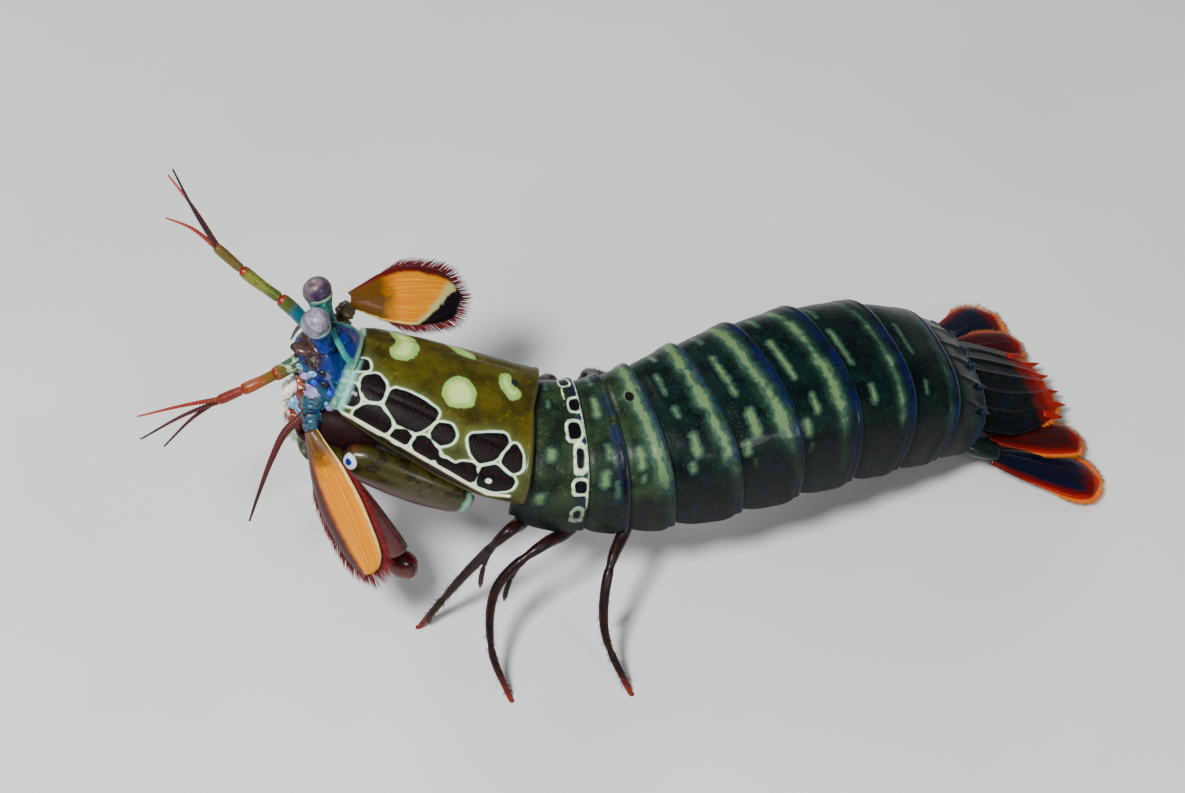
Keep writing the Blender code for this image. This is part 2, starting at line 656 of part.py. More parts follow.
# Walking legs: hip on its somite as (s, y, z), then knee to foot as places over the floor
LEGS = {
    "leg_1_left": ((32.5, -8.6, -3.6), ((-9.0, -13.0, 22.6), (-15.9, -14.6, 14.0), (-24.9, -16.0, -0.6))),
    "leg_2_left": ((39.2, -8.8, -3.8), ((-4.0, -14.5, 20.6), (-11.6, -19.5, 15.8), (-12.6, -25.0, 8.0),
                                        (-9.4, -30.0, -0.6))),
    "leg_3_left": ((45.2, -9.0, -4.0), ((6.4, -14.5, 17.0), (5.0, -22.4, 9.6), (9.4, -28.8, -0.6))),
    "leg_1_right": ((32.5, 8.6, -3.6), ((-11.5, 14.0, 21.5), (-18.0, 17.5, 12.0), (-22.5, 20.0, -0.6))),
    "leg_2_right": ((39.2, 8.8, -3.8), ((-2.5, 17.0, 20.5), (-6.0, 25.5, 11.5), (-4.5, 31.0, -0.6))),
    "leg_3_right": ((45.2, 9.0, -4.0), ((2.0, 19.5, 18.5), (4.0, 29.0, 10.0), (10.5, 34.5, -0.6)))}
LEG_JOINTS = ((0, 1.5), (0.12, 1.2), (0.3, 0.85), (0.36, 0.65), (0.42, 0.8), (0.7, 0.62), (0.74, 0.52),
              (0.8, 0.62), (1, 0.5))


def leg(name, *neighbours):
    hip, rest = LEGS[name]
    points = path([place(*hip)] + [Vector(point) for point in rest], 13)
    return stand_on_floor(trim(tube(name, points, LEG_JOINTS), *neighbours))


PLEOPOD_OUTLINE = ((0, 1.6, 1.6), (0.2, 3.4, 3.0), (0.5, 4.8, 4.2), (0.8, 4.4, 3.9), (1, 2.6, 2.4))


def pleopod(name, side, start, end, *neighbours):
    """A swimming paddle under one side of a somite, with its gill threads behind."""
    s = start + 0.3 * (end - start)
    depth = smooth(SECTION, 3, s)
    root = place(s, side * 5.6, -depth * 0.3)
    tip = place(s + 5.2, side * 6.6, -depth - 5.0)
    tailward, right, up = axes(s)
    pieces = [leaf(name, root, tip, -tailward, PLEOPOD_OUTLINE, 0.8, cup=0.5, bow=0.6, steps=5)]
    for k in range(3):
        base = root.lerp(tip, 0.2) + right * (k - 1) * 1.5
        thread = [base, base + tailward * 1.4 - up * 0.6, base + tailward * 2.6 - up * (2.4 + 0.8 * k)]
        pieces.append(tube("gill", path(thread, 4), ((0, 0.45), (1, 0.3)), 0))
    return trim(join(name, pieces), *neighbours)


# The telson: distance back, half width, height of the dome above the line
TELSON = ((109.3, 9.6, 2.6), (112.0, 10.6, 2.8), (117.0, 10.8, 2.5), (122.0, 9.6, 1.9), (126.0, 7.6, 1.2),
          (128.2, 5.6, 0.7))
# Places of its top across the half width, and the height of the ridge at some of them
TELSON_SPREAD = (-1.0, -0.85, -0.7, -0.53, -0.36, -0.18, 0.0, 0.18, 0.36, 0.53, 0.7, 0.85, 1.0)
TELSON_RIDGES = {0.0: 1.0, 0.36: 0.55, 0.7: 0.45}
# Each tooth's root and tip, as distance back and out
TELSON_TEETH = ((124.9, 6.6, 128.6, 7.6), (125.9, 4.4, 130.6, 5.0), (126.1, 1.7, 130.8, 1.9))


def telson():
    """The tail plate, ridged along its back, with three pairs of teeth behind."""
    rings = []
    highest = max(row[2] for row in TELSON)
    for s, half, dome in TELSON:
        top = []
        for v in TELSON_SPREAD:
            ridge = TELSON_RIDGES.get(abs(v), 0.0) * dome / highest
            top.append((v * half, dome * (1 - v * v) + ridge))
        bottom = [(half * v, -1.1 + 0.4 * v * v) for v in (1.0, 0.6, 0.0, -0.6, -1.0)]
        rings.append([place(s, y, z) for y, z in top + bottom])
    pieces = [loft("telson", rings)]
    for side in SIDES.values():
        for s0, y0, s1, y1 in TELSON_TEETH:
            pieces.append(spine(place(s0, side * y0, -0.1), place(s1, side * y1, -0.2), 0.9))
    return join("telson", pieces)


# The joint that carries the tail fan's lobes, right side, and its spines as root, tip and radius
UROPOD_BASE = ((105.5, 8.0, -2.6), (109.5, 10.8, -3.2), (114.2, 12.2, -3.0))
UROPOD_SPINES = (
    ((111.0, 9.6, -3.8), (121.6, 9.8, -3.4), 0.9),
    ((111.5, 11.2, -3.8), (119.4, 12.6, -3.6), 0.8))


def uropod_base(name, side, *neighbours):
    """The stout joint of the tail fan with the two long spines beneath it."""
    points = path(mirrored(UROPOD_BASE, side), 6)
    pieces = [limb(name, points, ((0, 1.8, 1.5), (0.5, 2.6, 1.6), (1, 2.4, 1.3)), axes(110)[1])]
    for root, tip, radius in UROPOD_SPINES:
        pieces.append(spine(*mirrored((root, tip), side), radius))
    return trim(join(name, pieces), *neighbours)


# Each lobe's outline, alike on its two sides
EXOPOD_WIDTHS = ((0, 1.6), (0.25, 3.2), (0.5, 4.2), (0.75, 4.7), (0.92, 3.9), (1, 2.7))
ENDOPOD_WIDTHS = ((0, 1.2), (0.25, 2.6), (0.6, 3.5), (0.9, 3.0), (1, 2.1))
EXOPOD = ((114.8, 13.0, -3.9), (129.8, 19.6, -3.9))
ENDOPOD = ((114.8, 9.8, -2.5), (130.0, 11.4, -2.3))
EDGE_SPINES = 7


def both_sides(widths):
    """The outline of a leaf that is alike on its two sides."""
    return [(fraction, width, width) for fraction, width in widths]


def uropod_outer(name, side, *neighbours):
    """The outer lobe of the tail fan, spined along its outer edge and fringed behind."""
    root, tip = mirrored(EXOPOD, side)
    tailward, right, up = axes(122)
    outline = both_sides(EXOPOD_WIDTHS)
    blade = leaf(name, root, tip, up, outline, 0.7, cup=0.6, bow=0.0, steps=11, fringe=2.0, fringe_from=0.62)
    pieces = [blade]
    way = (tip - root).normalized()
    across = right * side
    for k in range(EDGE_SPINES):
        f = 0.12 + 0.065 * k
        base = root.lerp(tip, f) + across * (read(EXOPOD_WIDTHS, 1, f) - 0.5) - up * 0.4
        pieces.append(spine(base, base + across * 1.2 + way * (1.7 + 0.25 * k), 0.42))
    return stand_on_floor(trim(join(name, pieces, FRINGED), *neighbours, solver=FRINGED))


def uropod_inner(name, side, *neighbours):
    """The inner lobe of the tail fan, fringed round its end."""
    root, tip = mirrored(ENDOPOD, side)
    up = axes(122)[2]
    outline = both_sides(ENDOPOD_WIDTHS)
    blade = leaf(name, root, tip, up, outline, 0.7, cup=0.2, bow=0.2, steps=11, fringe=1.8, fringe_from=0.45)
    return stand_on_floor(trim(blade, *neighbours, solver=FRINGED))


def build():
    """Every piece, each cut back from what it grows from."""
    trunk = {name: somite(name, start, end) for name, start, end in SOMITES}
    shield = trim(carapace(), trunk["thorax_6"])
    chest = thorax_front(shield)
    rostrum = trim(rostral_plate(), shield)
    front = head(shield, rostrum, chest)
    made = {}
    for side_name, side in SIDES.items():
        ball_eye = eye(f"eye_{side_name}", side)
        eyestalk(f"eyestalk_{side_name}", side, ball_eye, front, rostrum)
        made[side_name] = antennule(f"antennule_{side_name}", side_name, front)
        feeler = antenna(f"antenna_{side_name}", side_name, front, chest, shield, made[side_name])
        merus, wrist = claw(side_name, side, chest, shield)
        scale = antennal_scale(f"antennal_scale_{side_name}", side_name, feeler, wrist, shield)
        others = []
        for name, points, hand_size in MAXILLIPEDS:
            others.append(maxilliped(f"{name}_{side_name}", side, points, hand_size, chest, front, *others))
        walking = [trunk[name] for name, start, end in SOMITES[:3]]
        leg(f"leg_1_{side_name}", *walking, chest, merus)
        leg(f"leg_2_{side_name}", *walking, chest, merus)
        leg(f"leg_3_{side_name}", *walking)
        for k, (name, start, end) in enumerate(SOMITES[3:8], 1):
            pleopod(f"pleopod_{k}_{side_name}", side, start, end, trunk[name])
    tail = telson()
    for side_name, side in SIDES.items():
        base = uropod_base(f"uropod_base_{side_name}", side, trunk["abdomen_6"], tail)
        uropod_inner(f"uropod_inner_{side_name}", side, base, tail)
        uropod_outer(f"uropod_outer_{side_name}", side, base)


def centre_on_origin():
    """Moves the whole animal sideways so that its box stands centred on the origin."""
    corners = [vert.co for obj in parts.objects for vert in obj.data.vertices]
    shift = [-(min(c[k] for c in corners) + max(c[k] for c in corners)) / 2 for k in (0, 1)]
    for obj in parts.objects:
        obj.data.transform(Matrix.Translation((shift[0], shift[1], 0)))


build()
centre_on_origin()
for obj in parts.objects:
    paint(obj)
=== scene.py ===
"""The looks of a life-size peacock mantis shrimp: painted shell, eyes, feelers, claws, legs and fringes.

Shapes are drawn in millimetres on the body line that the solids use: s runs back from the front of the
carapace, y to the animal's right and z up from the line.  "Across" is the way over the back from the crest,
the animal's left being negative.  Colours are written as red, green and blue from 0 to 255.
"""
import math

import bmesh
import bpy
import numpy as np
from mathutils import Matrix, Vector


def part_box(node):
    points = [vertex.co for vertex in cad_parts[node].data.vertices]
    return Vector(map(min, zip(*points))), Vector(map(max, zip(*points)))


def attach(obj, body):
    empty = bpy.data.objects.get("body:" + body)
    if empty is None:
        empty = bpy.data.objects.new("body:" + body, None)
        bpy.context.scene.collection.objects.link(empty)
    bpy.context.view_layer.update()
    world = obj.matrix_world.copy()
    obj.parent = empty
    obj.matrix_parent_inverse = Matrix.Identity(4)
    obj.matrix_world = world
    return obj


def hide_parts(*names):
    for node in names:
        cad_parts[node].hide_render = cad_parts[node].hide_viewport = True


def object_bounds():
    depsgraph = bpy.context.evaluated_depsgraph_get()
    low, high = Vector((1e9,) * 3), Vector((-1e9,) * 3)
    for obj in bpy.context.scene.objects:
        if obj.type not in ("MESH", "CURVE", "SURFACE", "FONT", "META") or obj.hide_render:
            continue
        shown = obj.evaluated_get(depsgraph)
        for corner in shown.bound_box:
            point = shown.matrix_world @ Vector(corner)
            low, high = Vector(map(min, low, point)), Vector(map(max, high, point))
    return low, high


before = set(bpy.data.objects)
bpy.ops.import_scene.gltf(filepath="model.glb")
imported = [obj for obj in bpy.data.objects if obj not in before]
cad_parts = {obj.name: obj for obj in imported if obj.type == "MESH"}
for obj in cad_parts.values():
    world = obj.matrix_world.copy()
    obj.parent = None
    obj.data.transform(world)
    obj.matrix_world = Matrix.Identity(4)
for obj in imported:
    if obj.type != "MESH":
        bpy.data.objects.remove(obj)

cad_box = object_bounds()

MM = 0.001
LEFT, RIGHT = -1, 1
SIDES = {"left": LEFT, "right": RIGHT}

# The body line: distance back from the carapace front, turn to the right and fall, both in degrees
BODY_LINE = (
    (-10, -8, 20), (0, -8, 24), (15, -8, 26), (29, -3, 18), (37, 8, 9), (43, 14, 5), (49, 19, 2),
    (59, 25, 2), (70, 27, 7), (84, 25, 15), (95, 21, 24), (107, 18, 32), (115, 18, 26), (130, 20, 12),
    (142, 20, 8))
LINE_STEP = 0.5
ANCHOR = 37.5
ANCHOR_HEIGHT = 27.0

# Sections: distance back, half width, crown above the line, depth of the edge below it
TRUNK = (
    (30, 12.2, 7.2, 5.6), (37.5, 12.5, 7.4, 6.2), (43, 13.0, 7.7, 6.7), (49, 13.8, 8.2, 7.1),
    (59.3, 15.0, 9.0, 7.5), (69.6, 15.6, 9.3, 7.7), (79.9, 15.8, 9.2, 7.5), (90.2, 15.5, 8.7, 6.9),
    (100.2, 14.3, 7.5, 5.6), (109, 12.3, 5.2, 3.8))
CARAPACE = ((0.0, 7.6, 5.2, -0.6), (2.0, 8.6, 5.9, -0.2), (6.0, 9.6, 6.6, 0.2), (12.0, 10.7, 7.3, 0.4),
            (19.0, 11.9, 7.8, 0.5), (25.0, 12.6, 8.0, 0.4), (29.8, 12.6, 7.9, 0.0))
TRUNK_SQUARENESS = 2.7
CARAPACE_SQUARENESS = 2.35
SOMITES = (
    ("thorax_6", 30.0, 37.5), ("thorax_7", 37.5, 43.0), ("thorax_8", 43.0, 49.0),
    ("abdomen_1", 49.0, 58.6), ("abdomen_2", 58.6, 68.7), ("abdomen_3", 68.7, 79.5),
    ("abdomen_4", 79.5, 90.4), ("abdomen_5", 90.4, 100.6), ("abdomen_6", 100.6, 109.0))
EYES = {LEFT: (-7.7, -3.0, 12.2), RIGHT: (-8.7, 3.0, 12.2)}


# Lines and places

def curve(t, width, first, last, first_slope, last_slope):
    """A cubic from first to last over a width, leaving and meeting them at their slopes."""
    start = (2 * t**3 - 3 * t**2 + 1) * first + (t**3 - 2 * t**2 + t) * width * first_slope
    return start + (3 * t**2 - 2 * t**3) * last + (t**3 - t**2) * width * last_slope


def smooth(table, column, s):
    """A column of a table read at s, on a curve that never overshoots its rows."""
    xs, ys = np.array([(row[0], row[column]) for row in table], float).T
    steps = np.diff(ys) / np.diff(xs)
    both = steps[1:] * steps[:-1]
    inner = np.where(both > 0, 2 * both, 0) / np.where(both > 0, steps[1:] + steps[:-1], 1)
    slopes = np.concatenate([steps[:1], inner, steps[-1:]])
    s = np.clip(s, xs[0], xs[-1])
    i = np.clip(np.searchsorted(xs, s) - 1, 0, len(xs) - 2)
    width = xs[i + 1] - xs[i]
    return curve((s - xs[i]) / width, width, ys[i], ys[i + 1], slopes[i], slopes[i + 1])


def columns(table, s):
    """Every column of a table but its first, read at s."""
    return [smooth(table, column, s) for column in range(1, len(table[0]))]


def run(points):
    """How far along a line each of its points lies."""
    return np.concatenate([[0], np.cumsum(np.linalg.norm(np.diff(points, axis=0), axis=1))])


def between(at, along, points):
    """The points of a line at given distances along it."""
    return np.stack([np.interp(at, along, points[:, k]) for k in range(3)], -1)


def heading(turn, fall):
    """The way tailward where the body line has this turn and fall."""
    return np.stack([np.cos(fall) * np.cos(turn), np.cos(fall) * np.sin(turn), -np.sin(fall)], -1)


def body_line():
    """Stations along the body with their turn, fall and place, the anchor standing over the origin."""
    stations = np.arange(BODY_LINE[0][0], BODY_LINE[-1][0] + LINE_STEP / 2, LINE_STEP)
    turn, fall = [np.radians(column) for column in columns(BODY_LINE, stations)]
    ways = heading(turn, fall)
    steps = (ways[1:] + ways[:-1]) / 2 * LINE_STEP
    line = np.concatenate([[np.zeros(3)], np.cumsum(steps, 0)])
    anchor = int(np.argmin(abs(stations - ANCHOR)))
    return stations, turn, fall, line - line[anchor] + np.array([0, 0, ANCHOR_HEIGHT])


STATIONS, TURN, FALL, PLACES = body_line()


def axes(s):
    """Tailward, right and up at s."""
    turn, fall = np.interp(s, STATIONS, TURN), np.interp(s, STATIONS, FALL)
    tailward = heading(turn, fall)
    right = np.stack([-np.sin(turn), np.cos(turn), 0 * turn], -1)
    return tailward, right, np.cross(tailward, right)


def place(s, y=0.0, z=0.0):
    """The points at s, y and z, with the line carried on straight past its ends."""
    s, y, z = np.broadcast_arrays(np.asarray(s, float), y, z)
    inside = np.clip(s, STATIONS[0], STATIONS[-1])
    tailward, right, up = axes(inside)
    middle = between(inside, STATIONS, PLACES)
    return middle + tailward * (s - inside)[..., None] + right * y[..., None] + up * z[..., None]


# The whole animal stands a little aside from where it was drawn, so that its box is centred
eye_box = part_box("eye_left")
SHIFT = np.array([(eye_box[0][k] + eye_box[1][k]) / 2 / MM for k in range(3)]) - place(*EYES[LEFT])
SHIFT[2] = 0.0
PLACES = PLACES + SHIFT


def places(points, side=RIGHT):
    """The places of drawn points, those of the right side or their mirror images."""
    return np.array([place(s, side * y, z) for s, y, z in points])


def unit(vector):
    vector = np.asarray(vector, float)
    return vector / np.maximum(np.linalg.norm(vector, axis=-1, keepdims=True), 1e-9)


def near(centre, radius):
    """A rule for how far each point lies outside a ball."""
    return lambda points: np.linalg.norm(points - centre, axis=-1) - radius


def hump(offset, width):
    """A bell of height 1 over an offset of 0."""
    return np.exp(-(offset / width) ** 2)


def route(points, count):
    """Points spread evenly along a smooth curve through the given ones."""
    knots = np.array(points, float)
    along = run(knots)
    slopes = np.gradient(knots, along, axis=0)
    t = np.linspace(0, along[-1], count)
    i = np.clip(np.searchsorted(along, t) - 1, 0, len(knots) - 2)
    width = (along[i + 1] - along[i])[:, None]
    return curve((t - along[i])[:, None] / width, width, knots[i], knots[i + 1], slopes[i], slopes[i + 1])


ARCH_TURNS = np.linspace(0, math.pi, 721)


def arch(half, crown, depth, squareness, parts):
    """Places over the back, at parts of the way from the left edge to the right one: y, z and across."""
    turned = np.cos(ARCH_TURNS)
    y = -half * np.sign(turned) * abs(turned) ** (2 / squareness)
    z = -depth + (crown + depth) * np.sin(ARCH_TURNS) ** (2 / squareness)
    way = np.concatenate([[0], np.cumsum(np.hypot(np.diff(y), np.diff(z)))])
    at = parts * way[-1]
    return np.interp(at, way, y), np.interp(at, way, z), at - way[-1] / 2


# Pieces

EDGE_BULGE = 0.25
# What a mark that measures a distance says where its pattern is nowhere near
FAR_OFF = 5.0


def quads(index):
    """The four-cornered faces of a net of point numbers."""
    return np.stack([index[:-1, :-1], index[:-1, 1:], index[1:, 1:], index[1:, :-1]], -1).reshape(-1, 4)


class Piece:
    """Points, faces and marks of one piece, gathered until it is made.  A mark is a number at each point."""

    def __init__(self):
        self.points, self.faces, self.marks, self.count = [], [], {}, 0

    def add(self, points, faces, **marks):
        """Points in millimetres, faces counted from the first of them, and their marks."""
        for key in {**self.marks, **marks}:
            blocks = self.marks.setdefault(key, [np.zeros(self.count)])
            blocks.append(np.broadcast_to(np.ravel(marks.get(key, 0.0)), len(points)))
        self.points.append(points)
        self.faces.extend(block + self.count for block in faces)
        self.count += len(points)

    def tube(self, points, **marks):
        """A skin round rings of points, closed at both ends."""
        rings, sides = points.shape[:2]
        index = np.arange(rings * sides).reshape(rings, sides)
        index = np.concatenate([index, index[:, :1]], 1)
        faces = [quads(index)]
        for row, hub in ((0, rings * sides), (-1, rings * sides + 1)):
            faces.append(np.stack([index[row, :-1], index[row, 1:], np.full(sides, hub)], -1))
        values = {}
        for key, value in marks.items():
            value = np.broadcast_to(value(points) if callable(value) else value, (rings, sides))
            values[key] = np.concatenate([value.ravel(), [value[0].mean(), value[-1].mean()]])
        ends = [points[0].mean(0), points[-1].mean(0)]
        self.add(np.concatenate([points.reshape(-1, 3), ends]), faces, **values)

    def plate(self, points, thickness, **marks):
        """A sheet of the given thickness under its net of points, with a rounded edge all round."""
        shape = points.shape[:2]
        size = shape[0] * shape[1]
        index = np.arange(size).reshape(shape)
        rim = np.concatenate([index[0, :-1], index[:-1, -1], index[-1, :0:-1], index[:0:-1, 0]])
        normal = unit(np.cross(np.gradient(points, axis=0), np.gradient(points, axis=1)))
        depth = np.broadcast_to(thickness, shape)[..., None]
        flat, low = points.reshape(-1, 3), (points - normal * depth).reshape(-1, 3)
        inward = np.concatenate([
            points[1, :-1] - points[0, :-1], points[:-1, -2] - points[:-1, -1],
            points[-2, :0:-1] - points[-1, :0:-1], points[:0:-1, 1] - points[:0:-1, 0]])
        middle = (flat[rim] + low[rim]) / 2 - unit(inward) * EDGE_BULGE * depth.reshape(-1, 1)[rim]
        edge = 2 * size + np.arange(len(rim))
        next_rim, next_edge = np.roll(rim, -1), np.roll(edge, -1)
        faces = [quads(index), quads(index)[:, ::-1] + size, np.stack([rim, edge, next_edge, next_rim], -1),
                 np.stack([edge, rim + size, next_rim + size, next_edge], -1)]
        values = {}
        for key, value in marks.items():
            value = np.broadcast_to(value, shape).ravel()
            values[key] = np.concatenate([value, value, value[rim]])
        self.add(np.concatenate([flat, low, middle]), faces, **values)

    def rod(self, points, radii, sides, flat=None, squash=1.0, **marks):
        """A round or oval limb; radii are one, one a point, or rows of fraction and radius."""
        if np.ndim(radii) == 2:
            radii = smooth(radii, 1, np.linspace(0, 1, len(points)))
        radii, squash = np.broadcast_to(radii, len(points)), np.broadcast_to(squash, len(points))
        ways = unit(np.gradient(points, axis=0))
        across = unit(np.cross(ways[0], (0.3, 0.2, 1.0)))
        if flat is not None:
            across = unit(flat - ways[0] * np.dot(ways[0], flat))
        turns = 2 * math.pi * np.arange(sides) / sides
        rings = []
        for i, (point, way) in enumerate(zip(points, ways)):
            across = unit(across - way * np.dot(across, way))
            thick = np.cross(way, across)
            rings.append(point + radii[i] * (np.outer(np.cos(turns), across)
                                             + squash[i] * np.outer(np.sin(turns), thick)))
        length = run(points)[:, None]
        self.tube(np.array(rings), **{"along": length / length[-1], "length": length, **marks})

    def ball(self, centre, radii, way, up, rows, sides, shape=None, **marks):
        """An ovoid: its first radius along way and its third along up, reshaped by a rule if one is given."""
        way = unit(way)
        side = unit(np.cross(up, way))
        polar = np.linspace(0.02, math.pi - 0.02, rows)[:, None]
        turn = (2 * math.pi * np.arange(sides) / sides)[None]
        wide = np.sin(polar)
        local = np.stack([np.cos(polar) + 0 * turn, wide * np.cos(turn), wide * np.sin(turn)], -1)
        size = 1.0 if shape is None else shape(local)[..., None]
        points = centre + (local * radii * size) @ np.stack([way, side, np.cross(way, side)])
        self.tube(points, **{"along": polar / math.pi, "high": local[..., 2], **marks})

    def thorn(self, base, tip, radius, sides=10, bend=0.0, **marks):
        """A pointed spine from its sunk root to its tip."""
        parts = np.linspace(0, 1, 8)[:, None]
        points = base + (tip - base) * parts + bend * np.sin(math.pi * parts)
        self.rod(points, radius * (1 - parts[:, 0] ** 1.5 * 0.92), sides, **marks)

    def raise_to(self, height):
        """Lifts every point that lies lower to this height over the floor."""
        for block in self.points:
            block[:, 2] = np.maximum(block[:, 2], height)

    def make(self, name, material, slot, replaces=None):
        """One object, facing out, in metres, riding on the body."""
        points = np.concatenate(self.points) * MM
        mesh = bpy.data.meshes.new(name)
        mesh.from_pydata(points.tolist(), [], [face for block in self.faces for face in block.tolist()])
        bm = bmesh.new()
        bm.from_mesh(mesh)
        bmesh.ops.recalc_face_normals(bm, faces=bm.faces[:])
        bm.to_mesh(mesh)
        bm.free()
        for key, blocks in self.marks.items():
            layer = mesh.attributes.new(key, "FLOAT", "POINT")
            layer.data.foreach_set("value", np.concatenate(blocks))
        mesh.shade_smooth()
        obj = bpy.data.objects.new(name, mesh)
        bpy.context.scene.collection.objects.link(obj)
        mesh.materials.append(material)
        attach(obj, "root")
        if replaces:
            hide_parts(replaces)
        return obj


def rounded(corners, cut=0.2):
    """A closed outline with its corners cut off twice."""
    outline = np.array(corners, float)
    for _ in range(2):
        after = np.roll(outline, -1, 0)
        pairs = [outline * (1 - cut) + after * cut, outline * cut + after * (1 - cut)]
        outline = np.stack(pairs, 1).reshape(-1, 2)
    return outline


def off_outline(x, y, outline, closed=True):
    """Distance of points from an outline, negative within it, or from an open line."""
    nearest = np.full(np.shape(x), 1e3)
    inside = np.zeros(np.shape(x), bool)
    after = np.roll(outline, -1, 0)
    for (ax, ay), (bx, by) in zip(outline, after) if closed else zip(outline[:-1], outline[1:]):
        dx, dy = bx - ax, by - ay
        t = np.clip(((x - ax) * dx + (y - ay) * dy) / (dx * dx + dy * dy + 1e-9), 0, 1)
        nearest = np.minimum(nearest, np.hypot(x - ax - t * dx, y - ay - t * dy))
        if closed and dy != 0:
            inside ^= ((ay > y) != (by > y)) & (x < ax + (y - ay) * dx / dy)
    return np.where(inside, -nearest, nearest)


# Finishes

def ink(colour):
    """A shader's colour for red, green and blue; a colour that is mixed already stays as it is."""
    if isinstance(colour, Paint):
        return colour
    shares = [value / 255 for value in colour]
    return tuple(v / 12.92 if v <= 0.04045 else ((v + 0.055) / 1.055) ** 2.4 for v in shares) + (1.0,)


class Paint:
    """One value in a finish.  Sums written on it become the finish's own Math nodes."""

    def __init__(self, tree, socket=None):
        self.tree, self.socket = tree, socket

    def node(self, kind, settings, inputs, output=0):
        """Any node: its settings first, then the values or links of its sockets."""
        made = self.tree.nodes.new("ShaderNode" + kind)
        for key, value in settings.items():
            setattr(made, key, value)
        for key, value in inputs.items():
            if isinstance(value, Paint):
                self.tree.links.new(value.socket, made.inputs[key])
            else:
                made.inputs[key].default_value = value
        return Paint(self.tree, made.outputs[output])

    def math(self, operation, *values):
        return self.node("Math", {"operation": operation}, dict(enumerate(values)))

    def __add__(self, other):
        return self.math("ADD", self, other)

    def __sub__(self, other):
        return self.math("SUBTRACT", self, other)

    def __rsub__(self, other):
        return self.math("SUBTRACT", other, self)

    def __mul__(self, other):
        return self.math("MULTIPLY", self, other)

    def __abs__(self):
        return self.math("ABSOLUTE", self)

    __radd__ = __add__

    def wave(self, length):
        """A sine of the value, one swing in every length."""
        return self.math("SINE", self * (2 * math.pi / length))

    def rise(self, low, high):
        """From 0 at low to 1 at high."""
        ends = {"Value": self, "From Min": low, "From Max": high}
        return self.node("MapRange", {"interpolation_type": "SMOOTHSTEP"}, ends, "Result")

    def under(self, edge, blur):
        """1 where the value is under the edge and 0 over it."""
        return 1.0 - self.rise(edge - blur / 2, edge + blur / 2)

    def over(self, below, colour):
        """A colour laid over the one below, as far as this mask goes."""
        return self.node("Mix", {"data_type": "RGBA"}, {0: self, 6: ink(below), 7: ink(colour)}, 2)


class Finish(Paint):
    """A new material, and the hand that paints it."""

    def __init__(self, name, roughness=0.3, coat=0.0, gloss=0.28):
        self.material = bpy.data.materials.new(name)
        self.material.use_nodes = True
        super().__init__(self.material.node_tree)
        self.shader = self.tree.nodes["Principled BSDF"]
        for key, value in (("Roughness", roughness), ("Coat Weight", coat * 0.45), ("Coat Roughness", 0.08),
                           ("Specular IOR Level", gloss)):
            self.shader.inputs[key].default_value = value

    def marks(self, *names):
        """The numbers kept at each point of the piece under these names."""
        read = [self.node("Attribute", {"attribute_name": name}, {}, "Fac") for name in names]
        return read if len(read) > 1 else read[0]

    def spot(self):
        return self.node("TexCoord", {}, {}, "Object")

    def grain(self, size, detail=3.0, rough=0.5):
        """Cloudy noise about 0.5, its cells of the given size in millimetres."""
        inputs = {"Vector": self.spot(), "Scale": 1 / (size * MM), "Detail": detail, "Roughness": rough}
        return self.node("TexNoise", {}, inputs, "Fac")

    def lines(self, f, v):
        """Cloudy noise about 0.5, drawn out along a blade, on its own two measures."""
        where = self.node("CombineXYZ", {}, {0: f, 1: v, 2: 0.0})
        inputs = {"Vector": where, "Scale": 1.0, "Detail": 3.0, "Roughness": 0.6}
        return self.node("TexNoise", {}, inputs, "Fac")

    def ragged(self, size, reach, detail=3.0):
        """Cloudy noise about 0, for edges that aren't drawn with a ruler."""
        return (self.grain(size, detail) - 0.5) * reach

    def cells(self, size):
        """Distance from the nearest of the seeds strewn at the given spacing in millimetres."""
        inputs = {"Vector": self.spot(), "Scale": 1 / (size * MM)}
        return self.node("TexVoronoi", {"feature": "F1"}, inputs, "Distance")

    def patches(self, base, *others):
        """Blots of other colours over a base, each as (colour, size, share, seed)."""
        colour = base
        for other, size, share, seed in others:
            away = (seed * 0.1, seed * 0.07, seed * 0.05)
            where = self.node("VectorMath", {"operation": "ADD"}, {0: self.spot(), 1: away})
            inputs = {"Vector": where, "Scale": 1 / (size * MM), "Detail": 3.0}
            cloud = self.node("TexNoise", {}, inputs, "Fac")
            colour = cloud.rise(0.62 - share, 0.66 - share).over(colour, other)
        return colour

    def feed(self, key, value):
        self.tree.links.new(value.socket, self.shader.inputs[key])

    def done(self, colour, roughness, height, depth):
        """Joins up the shader; a height of 1 in its bump stands for a depth in millimetres."""
        self.feed("Base Color", colour)
        self.feed("Roughness", roughness)
        bump = {"Height": height, "Strength": 1.0, "Distance": depth * MM}
        self.feed("Normal", self.node("Bump", {}, bump, "Normal"))
        return self.material


OLIVE, OLIVE_DARK, OLIVE_LIGHT = (74, 66, 8), (44, 38, 5), (104, 100, 22)
NET, CELL, CELL_EDGE = (214, 238, 200), (13, 2, 4), (2, 1, 4)
SPOT, SPOT_CORE = (140, 176, 84), (190, 216, 128)
HAZE = (112, 140, 80)
THORAX, THORAX_DARK = (38, 54, 32), (16, 26, 18)
ABDOMEN, ABDOMEN_DARK = (5, 28, 24), (1, 7, 8)
BAND, BAND_CORE = (48, 76, 60), (98, 122, 80)
DEEP_BLUE = (8, 16, 66)


